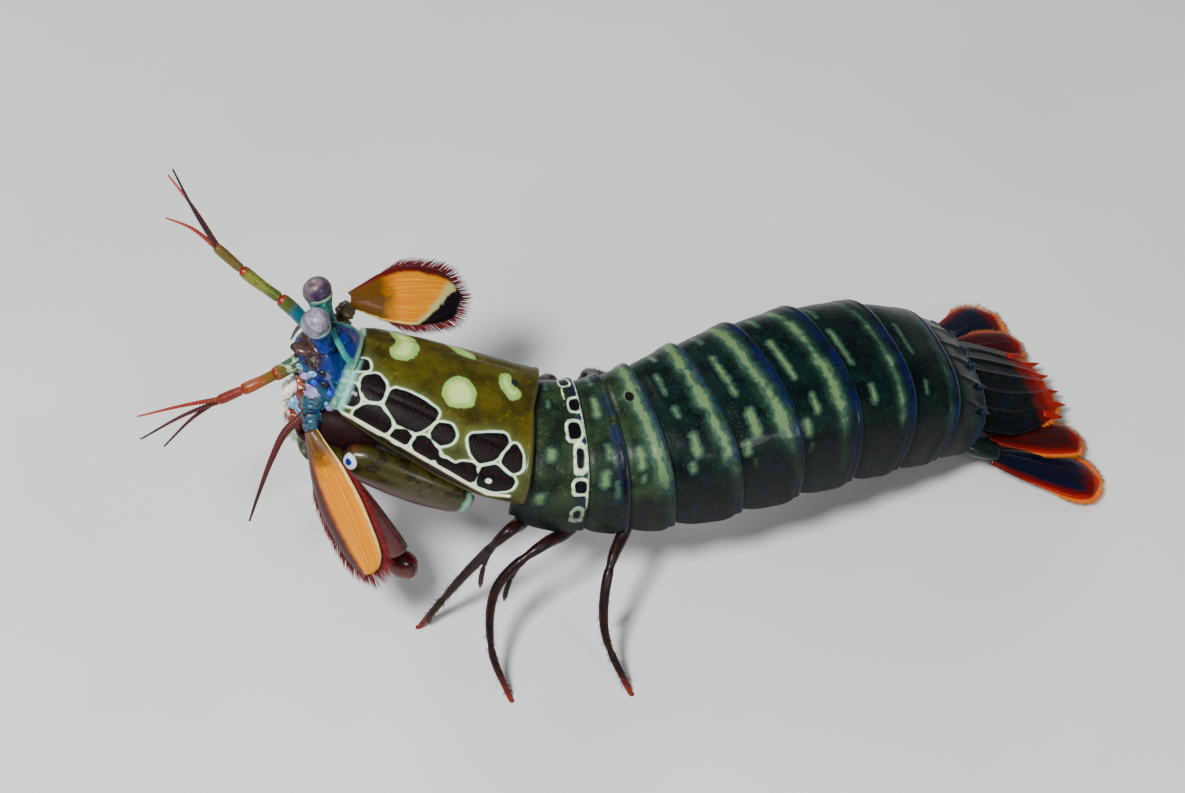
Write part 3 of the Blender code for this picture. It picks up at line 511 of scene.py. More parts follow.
def carapace_finish():
    paint = Finish("carapace_shell_finish", coat=0.18, gloss=0.16)
    s, across, cell, spot, dot = paint.marks("s", "across", "cell", "spot", "dot")
    ridge, edge, reach, below = paint.marks("ridge", "edge", "reach", "below")
    cloud = paint.grain(5.0, 4.0, 0.6)
    fine = paint.grain(0.5, 3.0, 0.6)
    ragged = paint.ragged(1.3, 0.5)
    colour = cloud.rise(0.35, 0.65).over(OLIVE_DARK, OLIVE)
    colour = (paint.grain(1.6, 4.0, 0.7).rise(0.55, 0.72) * 0.55).over(colour, OLIVE_LIGHT)
    colour = (fine.rise(0.58, 0.7) * 0.35).over(colour, OLIVE_DARK)
    colour = (reach.under(0.0, 4.0) * 0.45).over(colour, HAZE)
    colour = ((spot + ragged).under(0.45, 0.6) * 0.45).over(colour, (52, 62, 20))
    spot = spot + ragged * 1.1 + paint.ragged(0.55, 0.45, 2.0)
    pale = spot.under(0.0, 0.35)
    core = (spot + ragged).under(-0.9, 0.9)
    colour = pale.over(colour, core.over(SPOT, SPOT_CORE))
    colour = (pale * paint.grain(0.8, 4.0, 0.6).rise(0.55, 0.72) * 0.3).over(colour, (110, 140, 60))
    colour = (dot + ragged * 0.3).under(0.0, 0.25).over(colour, (20, 34, 40))
    line = (reach + ragged * 0.45 + paint.ragged(2.4, 0.35, 2.0)).under(0.0, 0.35)
    colour = line.over(colour, paint.grain(0.9, 2.0).rise(0.35, 0.7).over(NET, (178, 214, 172)))
    hole = (cell + ragged * 0.25).under(0.0, 0.2)
    inside = (cell + ragged).under(-0.55, 0.4).over(CELL_EDGE, CELL)
    inside = (paint.grain(0.7).rise(0.55, 0.7) * 0.35).over(inside, (60, 8, 8))
    colour = hole.over(colour, inside)
    # Past the white ridge line the lower margin of the shield is painted dark maroon: painted shade under its
    # edge.
    under = paint.patches((26, 6, 8), ((10, 4, 8), 1.4, 0.08, 32), ((52, 30, 12), 1.0, -0.04, 33))
    colour = (below + ragged * 0.3).rise(0.1, 0.4).over(colour, under)
    colour = (ridge + ragged * 0.2).under(0.28, 0.25).over(colour, (230, 226, 196))
    rim = s.under(1.2, 1.0).over((64, 60, 24), (150, 196, 180))
    colour = ((edge + ragged * 0.4).under(0.5, 0.5) * 0.85).over(colour, rim)
    corner = (s + ragged).under(0.9, 1.0) * (across + ragged).under(-1.0, 1.0)
    colour = (corner * 0.7).over(colour, (130, 190, 176))
    height = fine * 0.35 + paint.cells(0.45).under(0.25, 0.2) * -0.5 + paint.grain(3.0, 2.0) * 1.2
    return paint.done(colour, 0.32 + fine * 0.2 + s.under(2.2, 1.0) * 0.3, height, 0.06)


def trunk_finish(name, base, dark, warmth):
    """The plates behind the carapace: dark shell, a pale band before each rear edge, dashes and dots."""
    paint = Finish(name, coat=0.2, gloss=0.12)
    rear, band, dash = paint.marks("rear", "band", "dash")
    hollow, low, scallop, belly = paint.marks("hollow", "low", "scallop", "belly")
    fine = paint.grain(0.6, 3.0, 0.6)
    ragged = paint.ragged(1.8, 1.3)
    colour = paint.grain(4.0, 4.0, 0.6).rise(0.35, 0.65).over(dark, base)
    colour = (paint.grain(1.1, 4.0, 0.7).rise(0.58, 0.7) * 0.4).over(colour, warmth)
    blue = rear.under(1.6, 1.8) * paint.grain(3.0).rise(0.3, 0.6)
    colour = (blue * 0.7).over(colour, DEEP_BLUE)
    shown = 1.0 - low * 0.8
    band = band + paint.ragged(4.5, 2.0, 2.0) + paint.ragged(0.9, 0.7)
    colour = ((band + ragged).under(0.7, 1.2) * shown * 0.3).over(colour, BAND)
    colour = ((band + ragged * 0.6).under(0.05, 0.45) * shown).over(colour, BAND)
    colour = ((band + ragged).under(-0.5, 0.45) * shown * 0.85).over(colour, BAND_CORE)
    torn = dash + ragged * 0.7 + paint.ragged(0.8, 0.7)
    colour = (torn.under(0.6, 0.8) * 0.35).over(colour, (4, 20, 26))
    core = torn.under(-0.4, 0.5).over(BAND, BAND_CORE)
    colour = (torn.under(0.05, 0.5) * (0.9 - low * 0.4)).over(colour, core)
    net = paint.grain(0.9).rise(0.35, 0.6).over(NET, (160, 190, 150))
    colour = (scallop + ragged * 0.45).under(0.0, 0.2).over(colour, net)
    colour = (hollow + ragged * 0.45).under(0.0, 0.2).over(colour, (7, 3, 10))
    # A thin paler line along each rear lip is a painted highlight.
    colour = (rear.under(0.16, 0.2) * 0.35).over(colour, (60, 76, 66))
    # Towards the lower edge the plates go near black; the small blue and violet specks there are painted
    # glints.
    flank = paint.patches((7, 9, 10), ((14, 10, 30), 2.4, 0.04, 20), ((24, 30, 20), 1.2, -0.06, 21),
                          ((30, 80, 96), 0.35, -0.12, 37), ((60, 30, 110), 0.6, -0.13, 38))
    colour = (low.rise(0.3, 1.0) * 0.75).over(colour, flank)
    colour = (paint.grain(0.3, 2.0).rise(0.7, 0.76) * 0.35).over(colour, (90, 130, 110))
    skin = paint.patches((58, 48, 52), ((38, 30, 44), 1.8, 0.08, 22), ((90, 76, 70), 1.0, -0.05, 23))
    colour = belly.rise(0.4, 0.6).over(colour, skin)
    height = fine * 0.4 + paint.cells(0.5).under(0.25, 0.2) * -0.45 + paint.grain(2.4, 2.0) * 1.2
    return paint.done(colour, 0.26 + fine * 0.2 + low * 0.12, height, 0.06)


def plain_finish(name, base, second, third, size=2.0, coat=0.4, rough=0.25):
    """A shell of three mingled tones, finely grained."""
    paint = Finish(name, coat=coat)
    fine = paint.grain(0.4, 3.0, 0.6)
    colour = paint.grain(size, 4.0, 0.6).rise(0.35, 0.65).over(base, second)
    colour = (paint.grain(size * 0.3).rise(0.58, 0.72) * 0.7).over(colour, third)
    return paint.done(colour, rough + fine * 0.16, fine * 0.5 + paint.grain(1.5, 2.0), 0.05)


# The shield over the front of the trunk

# The dark cells of the net on its side, each an outline as distance back and across, the left being negative
NET_CELLS = (
    ((2.1, -4.0), (3.7, -3.3), (5.0, -4.5), (5.2, -6.6), (3.9, -7.1), (2.1, -6.1)),
    ((0.2, -5.8), (1.2, -5.7), (2.1, -7.2), (2.2, -8.5), (1.1, -8.5), (0.2, -7.3)),
    ((6.3, -7.3), (6.6, -4.8), (8.7, -4.7), (11.2, -5.2), (13.6, -6.0), (13.5, -7.3), (11.8, -9.8),
     (9.0, -9.5)),
    ((2.8, -9.1), (4.0, -8.2), (5.6, -8.1), (7.7, -9.4), (8.0, -10.9), (6.9, -11.8), (4.8, -11.2),
     (2.8, -10.3)),
    ((9.1, -10.6), (10.4, -10.1), (11.4, -10.8), (11.3, -12.0), (9.9, -12.4), (8.9, -11.6)),
    ((14.5, -7.8), (16.2, -7.4), (17.2, -8.5), (17.0, -9.6), (15.7, -10.4), (14.2, -9.8)),
    ((12.2, -11.7), (12.5, -10.5), (14.0, -10.3), (15.6, -11.6), (16.7, -12.7), (15.5, -13.3), (13.3, -12.8)),
    ((16.4, -12.5), (19.3, -13.1), (20.0, -12.3), (21.5, -12.0), (22.4, -13.3), (22.4, -14.7), (20.0, -14.3),
     (16.6, -13.3)),
    ((19.7, -7.9), (22.2, -7.0), (24.9, -6.3), (25.5, -7.5), (24.1, -10.0), (22.2, -11.2), (20.7, -9.9)),
    ((26.8, -7.4), (27.8, -8.6), (28.0, -10.7), (27.0, -11.4), (25.6, -10.5), (25.6, -9.0)),
    ((22.8, -12.2), (24.7, -11.3), (27.5, -12.7), (27.2, -14.1), (25.4, -15.1), (23.0, -14.8)),
    ((0.2, -1.4), (1.6, -1.2), (2.0, -2.4), (1.0, -2.7), (0.1, -2.3)))
NET_LINE = 0.66
PALE_SPOTS = (
    ((3.6, 7.6), (5.5, 8.6), (7.9, 7.2), (8.8, 4.8), (8.4, 2.2), (6.7, 0.6), (4.9, 0.8), (4.4, 2.4),
     (5.3, 4.5)),
    ((13.6, -0.3), (15.2, 1.6), (17.0, 1.7), (18.8, -0.1), (19.0, -2.9), (17.0, -4.2), (14.8, -4.4),
     (13.4, -2.8)),
    ((22.2, 5.0), (24.1, 6.0), (24.8, 3.4), (26.9, 2.6), (26.8, 1.0), (25.4, 0.0), (23.8, 1.0), (22.4, 2.6)),
    ((12.3, 9.9), (14.9, 9.8), (17.6, 8.2), (17.9, 6.7), (16.4, 6.4), (13.5, 7.8)))
SPOT_DOTS = ((4.4, 4.4, 0.55), (25.3, 4.1, 0.7), (0.45, -3.8, 0.3))
WHITE_RIDGE = ((0.4, -10.3), (3.0, -10.9), (7.2, -11.95), (13.9, -13.5), (19.0, -14.5), (24.8, -16.2),
               (27.6, -15.6))
CARAPACE_GROOVE = 0.607
CARAPACE_END = 29.8
CARAPACE_ROWS, CARAPACE_COLUMNS = 160, 190


def carapace_shell():
    """The painted shield: long grooves, a beaded rim, the net on each side and pale spots on top."""
    parts = np.linspace(0, 1, CARAPACE_COLUMNS)
    rows = []
    for s in np.linspace(0, CARAPACE_END, CARAPACE_ROWS):
        half, crown, depth = columns(CARAPACE, s)
        y, z, across = arch(half, crown, depth, CARAPACE_SQUARENESS, parts)
        way = abs(y) / half
        lobe = 1.3 * max(0.0, (s - 19.0) / 10.8)
        fade = np.clip((s - 2) / 4, 0, 1) * np.clip((28 - s) / 4, 0, 1)
        rim = np.minimum(np.minimum(across - across[0], across[-1] - across), min(s, CARAPACE_END - s))
        keel, bead = 0.12 * hump(across, 0.8) * fade, 0.16 * hump(rim - 0.45, 0.3)
        sunk = 0.14 * fade * hump(way - CARAPACE_GROOVE, 0.04)
        scale = 1 + (keel + bead - sunk) / np.hypot(y, z + 4)
        rows.append((place(s + lobe * (way - 0.55), y * scale, (z + 4) * scale - 4), s + 0 * y, across, rim))
    points, s, across, rim = [np.array(column) for column in zip(*rows)]
    folded = -abs(across)
    found = []
    for corners in NET_CELLS:
        outline = rounded(corners, cut=0.15)
        found.append(off_outline(s, across, outline))
        if max(corner[1] for corner in corners) < -7.9:
            found.append(np.where(across > 0, off_outline(s, folded, outline), 1e3))
    nearest, second = np.sort(found, axis=0)[:2]
    cell = nearest - 0.26 - np.clip((nearest + second - 0.95) * 0.45, 0, 0.2)
    pale_dot = np.hypot(s - 24.3, across + 13.8) - 0.45
    spots = [off_outline(s, across, rounded(corners)) for corners in PALE_SPOTS]
    dots = [np.hypot(s - back, across - aside) - radius for back, aside, radius in SPOT_DOTS]
    ridge_back, ridge_across = np.array(WHITE_RIDGE).T
    piece = Piece()
    # The below mark says how far past the white ridge line a point lies; there the finish paints shade.
    piece.plate(points, 0.7, s=s, across=across, edge=rim, cell=np.maximum(cell, -pale_dot),
                reach=nearest - 0.14 - NET_LINE, spot=np.minimum.reduce(spots + [pale_dot]),
                dot=np.minimum.reduce(dots),
                below=abs(across) - np.interp(s, ridge_back, -ridge_across) - 0.3,
                ridge=off_outline(s, folded, np.array(WHITE_RIDGE), closed=False))
    piece.make("carapace_shell", carapace_finish(), "carapace", "carapace")


# The plates of the trunk

BACK_COLUMNS, BACK_ROW_GAP = 210, 0.19
# Along one somite: fraction of its length, size of the section, depth of the side flap
PLATE = ((0.0, 0.94, 0.86), (0.12, 0.965, 0.97), (0.4, 0.985, 1.04), (0.72, 1.0, 1.06), (0.9, 1.015, 0.98),
         (1.0, 1.01, 0.9))
BELLY = ((0.93, 1.02), (0.9, 0.97), (0.86, 0.8), (0.76, 0.5), (0.6, 0.4), (0.45, 0.36), (0.2, 0.4),
         (0.0, 0.42),
         (-0.2, 0.4), (-0.45, 0.36), (-0.6, 0.4), (-0.76, 0.5), (-0.86, 0.8), (-0.9, 0.97), (-0.93, 1.02))
# The pale band of each somite: its distance back on the left flank, on the crest and on the right, half width
BANDS = {
    "thorax_8": ((48.7, 47.6, 48.4), 1.05), "abdomen_1": ((58.2, 57.0, 57.8), 0.95),
    "abdomen_2": ((67.6, 66.2, 66.0), 0.92), "abdomen_3": ((76.8, 76.6, 75.6), 0.8),
    "abdomen_4": ((88.2, 88.1, 87.2), 0.35), "abdomen_5": ((99.2, 98.8, 98.4), -0.2)}
# Pale dashes of each somite: distance back, from and to across, half width
DASHES = {
    "thorax_6": ((32.7, -7.5, -6.8, 0.85), (32.3, -15.2, -14.3, 0.8), (31.9, 1.4, 2.6, 0.4),
                 (31.6, 5.8, 7.0, 0.4), (33.0, 10.0, 12.0, 0.35)),
    "thorax_7": ((40.6, -0.8, 2.6, 0.75), (41.1, -8.4, -6.6, 0.55), (40.3, -12.2, -10.8, 0.75),
                 (41.9, -15.0, -12.4, 0.35), (41.0, 6.4, 8.6, 0.5)),
    "thorax_8": ((45.6, -10.6, -8.0, 0.75), (45.6, -12.8, -12.2, 0.4)),
    "abdomen_1": ((52.5, 0.2, 4.2, 0.45), (52.6, -4.6, -3.2, 0.45), (53.5, -11.2, -8.6, 0.85),
                  (52.4, -13.6, -12.6, 0.55), (54.0, 8.0, 12.0, 0.5)),
    "abdomen_2": ((62.1, -4.2, 3.6, 0.62), (62.6, -11.4, -8.2, 0.9), (60.8, -13.8, -12.6, 0.75),
                  (61.6, -16.4, -15.6, 0.35), (62.5, 8.0, 10.8, 0.5)),
    "abdomen_3": ((71.5, -4.8, 3.0, 0.6), (72.8, -11.4, -8.8, 0.65), (70.7, -14.4, -12.6, 0.7),
                  (71.0, -17.0, -16.4, 0.3), (72.0, 7.4, 10.6, 0.45)),
    "abdomen_4": ((81.6, -4.6, 2.4, 0.5), (83.2, -11.6, -9.4, 0.65), (81.6, 6.6, 9.6, 0.4)),
    "abdomen_5": ((93.4, -3.0, 3.0, 0.35), (93.8, -10.6, -8.8, 0.4))}
# The keels of the last ring, each ending in a spine, as distances across
CRESTS = (-10.0, -5.6, -1.6, 1.6, 5.6, 10.0)
# Dark cells of the white chain across the first free ring: distance back, across, and their half sizes
SCALLOP_CELLS = ((35.9, 7.9, 0.95, 1.4), (36.9, 1.7, 0.95, 1.2), (36.3, -3.3, 1.05, 1.6),
                 (36.9, -8.0, 0.6, 1.6),
                 (37.0, -12.5, 0.8, 1.0), (36.6, 12.2, 0.75, 1.1), (36.9, -17.6, 0.45, 0.9))


def trunk_plate(name, start, end, material):
    """One ring of the trunk: its back arched, its rear lip over the next ring, its flaps and its belly."""
    front, rear = start - 0.5, end + (0.55 if end < 108 else -0.1)
    parts = np.linspace(0, 1, BACK_COLUMNS)
    belly_side, belly_deep = np.array(BELLY).T
    rows = []
    for s in front + (rear - front) * np.linspace(0, 1, int((rear - front) / BACK_ROW_GAP)):
        at = np.clip((s - start - 0.15) / (end - start - 0.3), 0, 1)
        size, flap = columns(PLATE, at)
        half, crown, depth = columns(TRUNK, s)
        y, z, across = arch(half * size, crown * size, depth * flap, TRUNK_SQUARENESS, parts)
        raised = 0.14 * math.exp(-((rear - s - 0.45) / 0.3) ** 2) - 0.1 / (1 + math.exp((at - 0.2) * 40))
        if name == "abdomen_6":
            keels = sum(0.5 * hump(abs(across) - crest, 0.45) * np.clip((at - 0.15) * 2, 0, 1)
                        for crest in CRESTS[3:])
            raised = raised + keels
        grow = 1 + raised / np.hypot(y, z)
        rows.append((place(s, np.concatenate([y * grow, belly_side * half * size]),
                           np.concatenate([z * grow, -belly_deep * depth * flap])),
                     np.full(len(parts) + len(BELLY), s),
                     np.concatenate([across, np.linspace(across[-1], across[-1] + 8, len(BELLY))])))
    points, s, across = [np.array(column) for column in zip(*rows)]
    band = dash = hollow = scallop = np.full(s.shape, FAR_OFF)
    if name in BANDS:
        (left, crest, right), half = BANDS[name]
        bent = np.where(across < 0, (left - crest) * (across / 17) ** 2, (right - crest) * (across / 12) ** 2)
        band = abs(s - (crest + bent)) - half
    for at, first, last, half in DASHES.get(name, ()):
        gap = np.maximum(np.maximum(first - across, across - last), 0)
        dash = np.minimum(dash, np.hypot(s - at, gap * 0.9) - half)
    if name == "thorax_6":
        cells = [(((abs(s - a) / c) ** 3 + (abs(across - b) / d) ** 3) ** (1 / 3) - 1) * min(c, d)
                 for a, b, c, d in SCALLOP_CELLS]
        hollow = np.minimum.reduce(cells)
        line = s - 38.05 - 0.1 * np.sin(across) + 0.004 * np.maximum(across - 2, 0) ** 2
        line = np.maximum(abs(line) - 0.28, abs(across) - 16.5)
        joined = abs(s - 35.0 - 0.12 * abs(across - 4.8)) - 0.2
        line = np.minimum(line, np.maximum(joined, abs(across - 4.8) - 2.0))
        scallop = np.minimum(line, hollow - 0.4)
    if name == "thorax_7":
        hollow = np.maximum(abs(s - 42.9) - 0.3, abs(across + 11.5) - 5)
    if name == "thorax_8":
        hollow = np.hypot(s - 46.9, (across - 1.6) * 0.75) - 0.75
        band = np.minimum(band, hollow - 0.6)
    belly = np.repeat([0.0, 1.0], [len(parts), len(BELLY)])
    piece = Piece()
    piece.tube(points, rear=rear - s, band=band, dash=dash, hollow=hollow, scallop=scallop, belly=belly,
               low=np.clip((abs(across) - 11) / 7, 0, 1))
    if name == "abdomen_6":
        tailward = axes(rear)[0]
        for crest in CRESTS:
            root = points[-3, np.argmin(abs(across[-1, :len(parts)] - crest))]
            piece.thorn(root - tailward * 1.4, root + tailward * 0.9, 0.5, rear=0.4, band=FAR_OFF,
                        dash=FAR_OFF, hollow=FAR_OFF, scallop=FAR_OFF)
    piece.make(name + "_plate", material, name[:-2], name)


# The tail plate

TELSON_START = 109.0
TELSON_BRISTLES = 640
TELSON = ((109.3, 9.6, 2.6), (112.0, 10.6, 2.8), (117.0, 10.8, 2.5), (122.0, 9.6, 1.9), (126.0, 7.6, 1.2),
          (128.2, 5.6, 0.7))
TELSON_EDGE = ((124.2, 8.6), (126.4, 7.2), (128.0, 5.4), (128.4, 3.2), (128.5, 0.0), (128.4, -3.2),
               (128.0, -5.4), (126.4, -7.2), (124.2, -8.6))
TELSON_TEETH = ((124.9, 6.6, 128.6, 7.6), (125.9, 4.4, 130.6, 5.0), (126.1, 1.7, 130.8, 1.9))
TELSON_RIDGES = ((0.0, 0.9, 0.07), (0.36, 0.5, 0.055), (0.7, 0.4, 0.055))


def telson_finish():
    """Dark green to black, the margin and teeth deep red."""
    paint = Finish("tail_plate_finish", coat=0.2, gloss=0.12)
    along = paint.marks("along")
    ragged = paint.ragged(1.6, 3.0)
    colour = paint.patches((2, 5, 8), ((5, 22, 18), 3.0, 0.02, 24), ((4, 8, 34), 2.2, 0.0, 25),
                           ((40, 64, 60), 0.5, -0.13, 26))
    colour = (along + ragged * 0.5).rise(13.8, 15.8).over(colour, (88, 5, 2))
    colour = (along + ragged * 0.3).rise(16.6, 18.4).over(colour, (140, 18, 2))
    fine = paint.grain(0.45)
    return paint.done(colour, 0.3 + fine * 0.25, fine * 0.5 + paint.cells(0.7).under(0.3, 0.2) * -0.6, 0.08)


def telson_plate(material, bristle):
    """The tail plate, keeled along its back, with three pairs of teeth and a row of small ones behind."""
    piece = Piece()
    spread, low = np.linspace(-1, 1, 121), np.linspace(1, -1, 41)
    stations = np.linspace(TELSON_START, 128.2, 96)
    rings = []
    for s in stations:
        half, dome = columns(TELSON, s)
        top = dome * (1 - spread**2)
        for at, height, width in TELSON_RIDGES:
            crest = height * dome / 2.8 * np.clip((s - TELSON_START) / 1.5, 0.2, 1)
            top = top + crest * hump(abs(spread) - at, width)
        heights = np.concatenate([top, -1.1 + 0.4 * low**2])
        rings.append(place(s, np.concatenate([spread, low]) * half, heights))
    piece.tube(np.array(rings), along=(stations - TELSON_START)[:, None])
    for side in SIDES.values():
        for s0, y0, s1, y1 in TELSON_TEETH:
            piece.thorn(place(s0, side * y0, -0.1), place(s1, side * y1, -0.2), 0.9, along=20.0)
        for k in range(5):
            y = 2.4 + 0.42 * k
            root, tip = place(127.6, side * y, -0.1), place(129.0 - 0.03 * k, side * (y + 0.05), -0.15)
            piece.thorn(root, tip, 0.24, 8, along=20.0)
    piece.make("telson_plate", material, "telson", "telson")
    rng = np.random.default_rng(7)
    count = TELSON_BRISTLES
    line = route([(s, y, 0) for s, y in TELSON_EDGE], count)[:, :2] + rng.normal(0, 0.06, (count, 2))
    roots = place(line[:, 0] - 0.5, line[:, 1], rng.uniform(-0.8, -0.35, count))
    tailward, right, up = axes(127.0)
    ways = tailward + np.outer(np.clip(line[:, 1] / 9, -1, 1) * 0.8, right) + rng.normal(0, 0.13, (count, 3))
    ease = np.sin(math.pi * np.linspace(0.03, 0.97, count)) ** 0.5
    lengths = (1.5 + 1.5 * rng.random(count)) * ease
    bristles("telson_fringe", bristle, roots, ways, lengths, 0.07, -up * 0.05, "telson", 8)


# Thin blades: feeler paddles, tail fan lobes, swimming paddles

FLOOR_GAP = 0.02


def blade_points(root, tip, up, outline, cup, bow, shape=(90, 41)):
    """A net over a cupped, bowed leaf, with how far along and how far to its side each point lies."""
    length = np.linalg.norm(tip - root)
    way = (tip - root) / length
    up = unit(up - way * np.dot(up, way))
    f, v = np.linspace(0, 1, shape[0])[:, None], np.linspace(-1, 1, shape[1])[None]
    close = np.where(f > 0.9, np.sqrt(np.clip(1 - ((f - 0.9) / 0.1) ** 2, 0, 1)), 1.0)
    width = np.where(v < 0, *columns(outline, f)) * (0.25 + 0.75 * close)
    middle = root + way * length * f[..., None] + up * (bow * np.sin(math.pi * f))[..., None]
    points = middle + np.cross(way, up) * (v * width)[..., None] - up * (cup * v * v)[..., None]
    return points, f + 0 * v, v + 0 * f, way, up


# A bristle has three points at its root, three on its way and one at its tip
SPIKE_FACES = ((0, 2, 1), (0, 1, 4, 3), (1, 2, 5, 4), (2, 0, 3, 5), (3, 4, 6), (4, 5, 6), (5, 3, 6))
SPIKE_MAP = np.array([(0, 0), (1, 0), (0.5, 0.3), (0, 0.6), (1, 0.6), (0.5, 0.7), (0.5, 1)]) * 0.003


def bristles(name, material, roots, ways, lengths, width, bend, slot, seed):
    """A fringe of fine tapering bristles, each a closed bent spike with its own small patch in the map."""
    rng = np.random.default_rng(seed)
    count = len(roots)
    ways = unit(ways)
    aside = unit(np.cross(ways, rng.normal(size=(count, 3))))
    third = np.cross(ways, aside)
    points = []
    for part, size in ((0.0, 1.0), (0.55, 0.7)):
        centre = roots + ways * (lengths * part)[:, None] + bend * (part**2) * lengths[:, None]
        for k in range(3):
            turn = 2 * math.pi * k / 3
            points.append(centre + (aside * math.cos(turn) + third * math.sin(turn)) * width * size)
    points.append(roots + ways * lengths[:, None] + bend * lengths[:, None])
    points = np.stack(points, 1)
    points[..., 2] = np.maximum(points[..., 2], FLOOR_GAP)
    index = np.arange(count)[:, None] * 7
    piece = Piece()
    piece.add(points.reshape(-1, 3), [index + np.array([face]) for face in SPIKE_FACES],
              along=np.tile([0, 0, 0, 0.55, 0.55, 0.55, 1.0], count), shade=np.repeat(rng.random(count), 7))
    obj = piece.make(name, material, slot)
    layer = obj.data.uv_layers.new(name="OFBake")
    low, high = roots.min(0), roots.max(0)
    flat = ((roots - low) / np.maximum(high - low, 1e-6).max())[:, :2]
    corners = np.empty(len(obj.data.loops), int)
    obj.data.loops.foreach_get("vertex_index", corners)
    layer.data.foreach_set("uv", (0.02 + 0.95 * flat[corners // 7] + SPIKE_MAP[corners % 7]).ravel())


def bristle_finish(name, root, tip, dark):
    paint = Finish(name, roughness=0.45)
    along, shade = paint.marks("along", "shade")
    colour = along.rise(0.1, 0.85).over(root, tip)
    colour = (shade * 0.45).over(colour, dark)
    colour = (paint.grain(0.4).rise(0.4, 0.7) * 0.3).over(colour, dark)
    return paint.done(colour, 0.4 + shade * 0.2, paint.grain(0.15, 2.0), 0.02)


def fringe(points, way, f_from, spacing, length, jitter, seed, tilt=0.55):
    """Roots, ways and lengths of bristles round a blade's free edge, from one side round its tip."""
    rng = np.random.default_rng(seed)
    start = int(f_from * len(points))
    line = np.concatenate([points[start:, 0], points[-1], points[start:, -1][::-1]])
    along = run(line)
    count = int(along[-1] / spacing)
    at = np.clip(np.linspace(0, along[-1], count) + rng.normal(0, spacing * 0.3, count), 0, along[-1])
    tangent = unit(np.gradient(line, axis=0))
    outward = line - points[start:, points.shape[1] // 2].mean(0)
    outward = unit(outward - tangent * np.sum(outward * tangent, -1, keepdims=True))
    out = between(at, along, outward)
    ways = unit(unit(out) * 0.8 + way * tilt) + rng.normal(0, jitter, (count, 3))
    ease = np.clip(np.minimum(at, along[-1] - at) / 3.0, 0.35, 1.0)
    return between(at, along, line) - out * 0.3, ways, length * ease * (0.8 + 0.3 * rng.random(count))


SCALES = {
    "left": ((-1.5, -10.2, -4.6), (14.4, -23.6, -13.2), (-0.55, -0.75, 0.35)),
    "right": ((-2.6, 8.8, 6.6), (12.6, 17.4, 6.4), (0.1, -0.55, 0.83))}
SCALE_OUTLINE = ((0, 0.9, 0.9), (0.1, 1.9, 1.9), (0.3, 3.8, 3.4), (0.55, 4.7, 4.2), (0.78, 4.3, 3.9),
                 (0.92, 3.4, 3.2), (1, 2.3, 2.2))


def scale_finish():
    """The feeler paddle: orange, finely lined lengthwise, cream at one edge, its spot nearly black."""
    paint = Finish("feeler_paddle_finish", roughness=0.35, coat=0.2, gloss=0.15)
    f, v, flip = paint.marks("f", "v", "flip")
    lined = paint.lines(f * 1.5, v * 14.0)
    ragged = paint.ragged(1.5, 0.35)
    colour = lined.rise(0.3, 0.7).over((190, 104, 0), (218, 140, 0))
    # The palest orange streaks along the lines are a painted highlight.
    colour = ((lined + ragged).rise(0.6, 0.75) * 0.5).over(colour, (238, 176, 0))
    colour = (f + ragged * 0.5 - flip * 0.1).under(0.24, 0.2).over(colour, (84, 52, 12))
    outer = v * (1.0 - flip * 2.0) + ragged * 0.5
    colour = ((outer + f * 0.2).rise(0.2, 0.45) * (1.0 - flip)).over(colour, (120, 40, 4))
    colour = ((outer + f * 0.2).rise(0.35, 0.6) * (1.0 - flip)).over(colour, (46, 7, 8))
    colour = outer.rise(0.72, 0.9).over(colour, (84, 10, 10))
    colour = (0.0 - outer).rise(0.9, 0.97).over(colour, (206, 180, 100))
    tip = f + v * 0.22 + v * v * 0.06 + ragged * 0.35
    colour = (tip.rise(0.76, 0.84) * flip).over(colour, (176, 168, 104))
    colour = (tip.rise(0.86, 0.9) * flip).over(colour, (12, 4, 12))
    colour = ((outer + f * 0.6).rise(1.1, 1.3) * flip).over(colour, (70, 12, 10))
    return paint.done(colour, 0.3 + lined * 0.2, lined * 0.8 + paint.grain(0.3, 2.0) * 0.3, 0.06)


def feeler_paddle(side_name, material, bristle):
    """The thin orange paddle at the root of a feeler."""
    root, tip, facing = SCALES[side_name]
    root, tip = place(*root), place(*tip)
    root = root - unit(tip - root) * 0.8
    points, f, v, way, up = blade_points(root, tip, facing, SCALE_OUTLINE, 0.8, 0.8)
    points = points + up * 0.3
    thick = 0.6 * (1 - 0.45 * abs(v) ** 3) + 0.25 * hump(v, 0.12) * (1 - f)
    node = f"antennal_scale_{side_name}"
    piece = Piece()
    piece.plate(points, thick, f=f, v=v, flip=1.0 if side_name == "right" else 0.0)
    piece.make(node + "_blade", material, "antennal_scale", node)
    seed = {"left": 11, "right": 12}[side_name]
    roots, ways, lengths = fringe(points, way, 0.2, 0.055, 3.0, 0.05, seed, tilt=0.9)
    bristles(node + "_fringe", bristle, roots, ways, lengths, 0.07, way * 0.1, "antennal_scale", 21)


LOBE_LIFT = 0.35
EXOPOD_WIDTHS = ((0, 1.6), (0.25, 3.2), (0.5, 4.2), (0.75, 4.7), (0.92, 3.9), (1, 2.7))
ENDOPOD_WIDTHS = ((0, 1.2), (0.25, 2.6), (0.6, 3.5), (0.9, 3.0), (1, 2.1))
EXOPOD = ((114.8, 13.0, -3.9), (129.8, 19.6, -3.9))
ENDOPOD = ((114.8, 9.8, -2.5), (130.0, 11.4, -2.3))
UROPOD_BASE = ((105.5, 8.0, -2.6), (109.5, 10.8, -3.2), (114.2, 12.2, -3.0))
UROPOD_SPINES = (((111.0, 9.6, -3.8), (121.6, 9.8, -3.4), 0.9),
                 ((111.5, 11.2, -3.8), (119.4, 12.6, -3.6), 0.8))


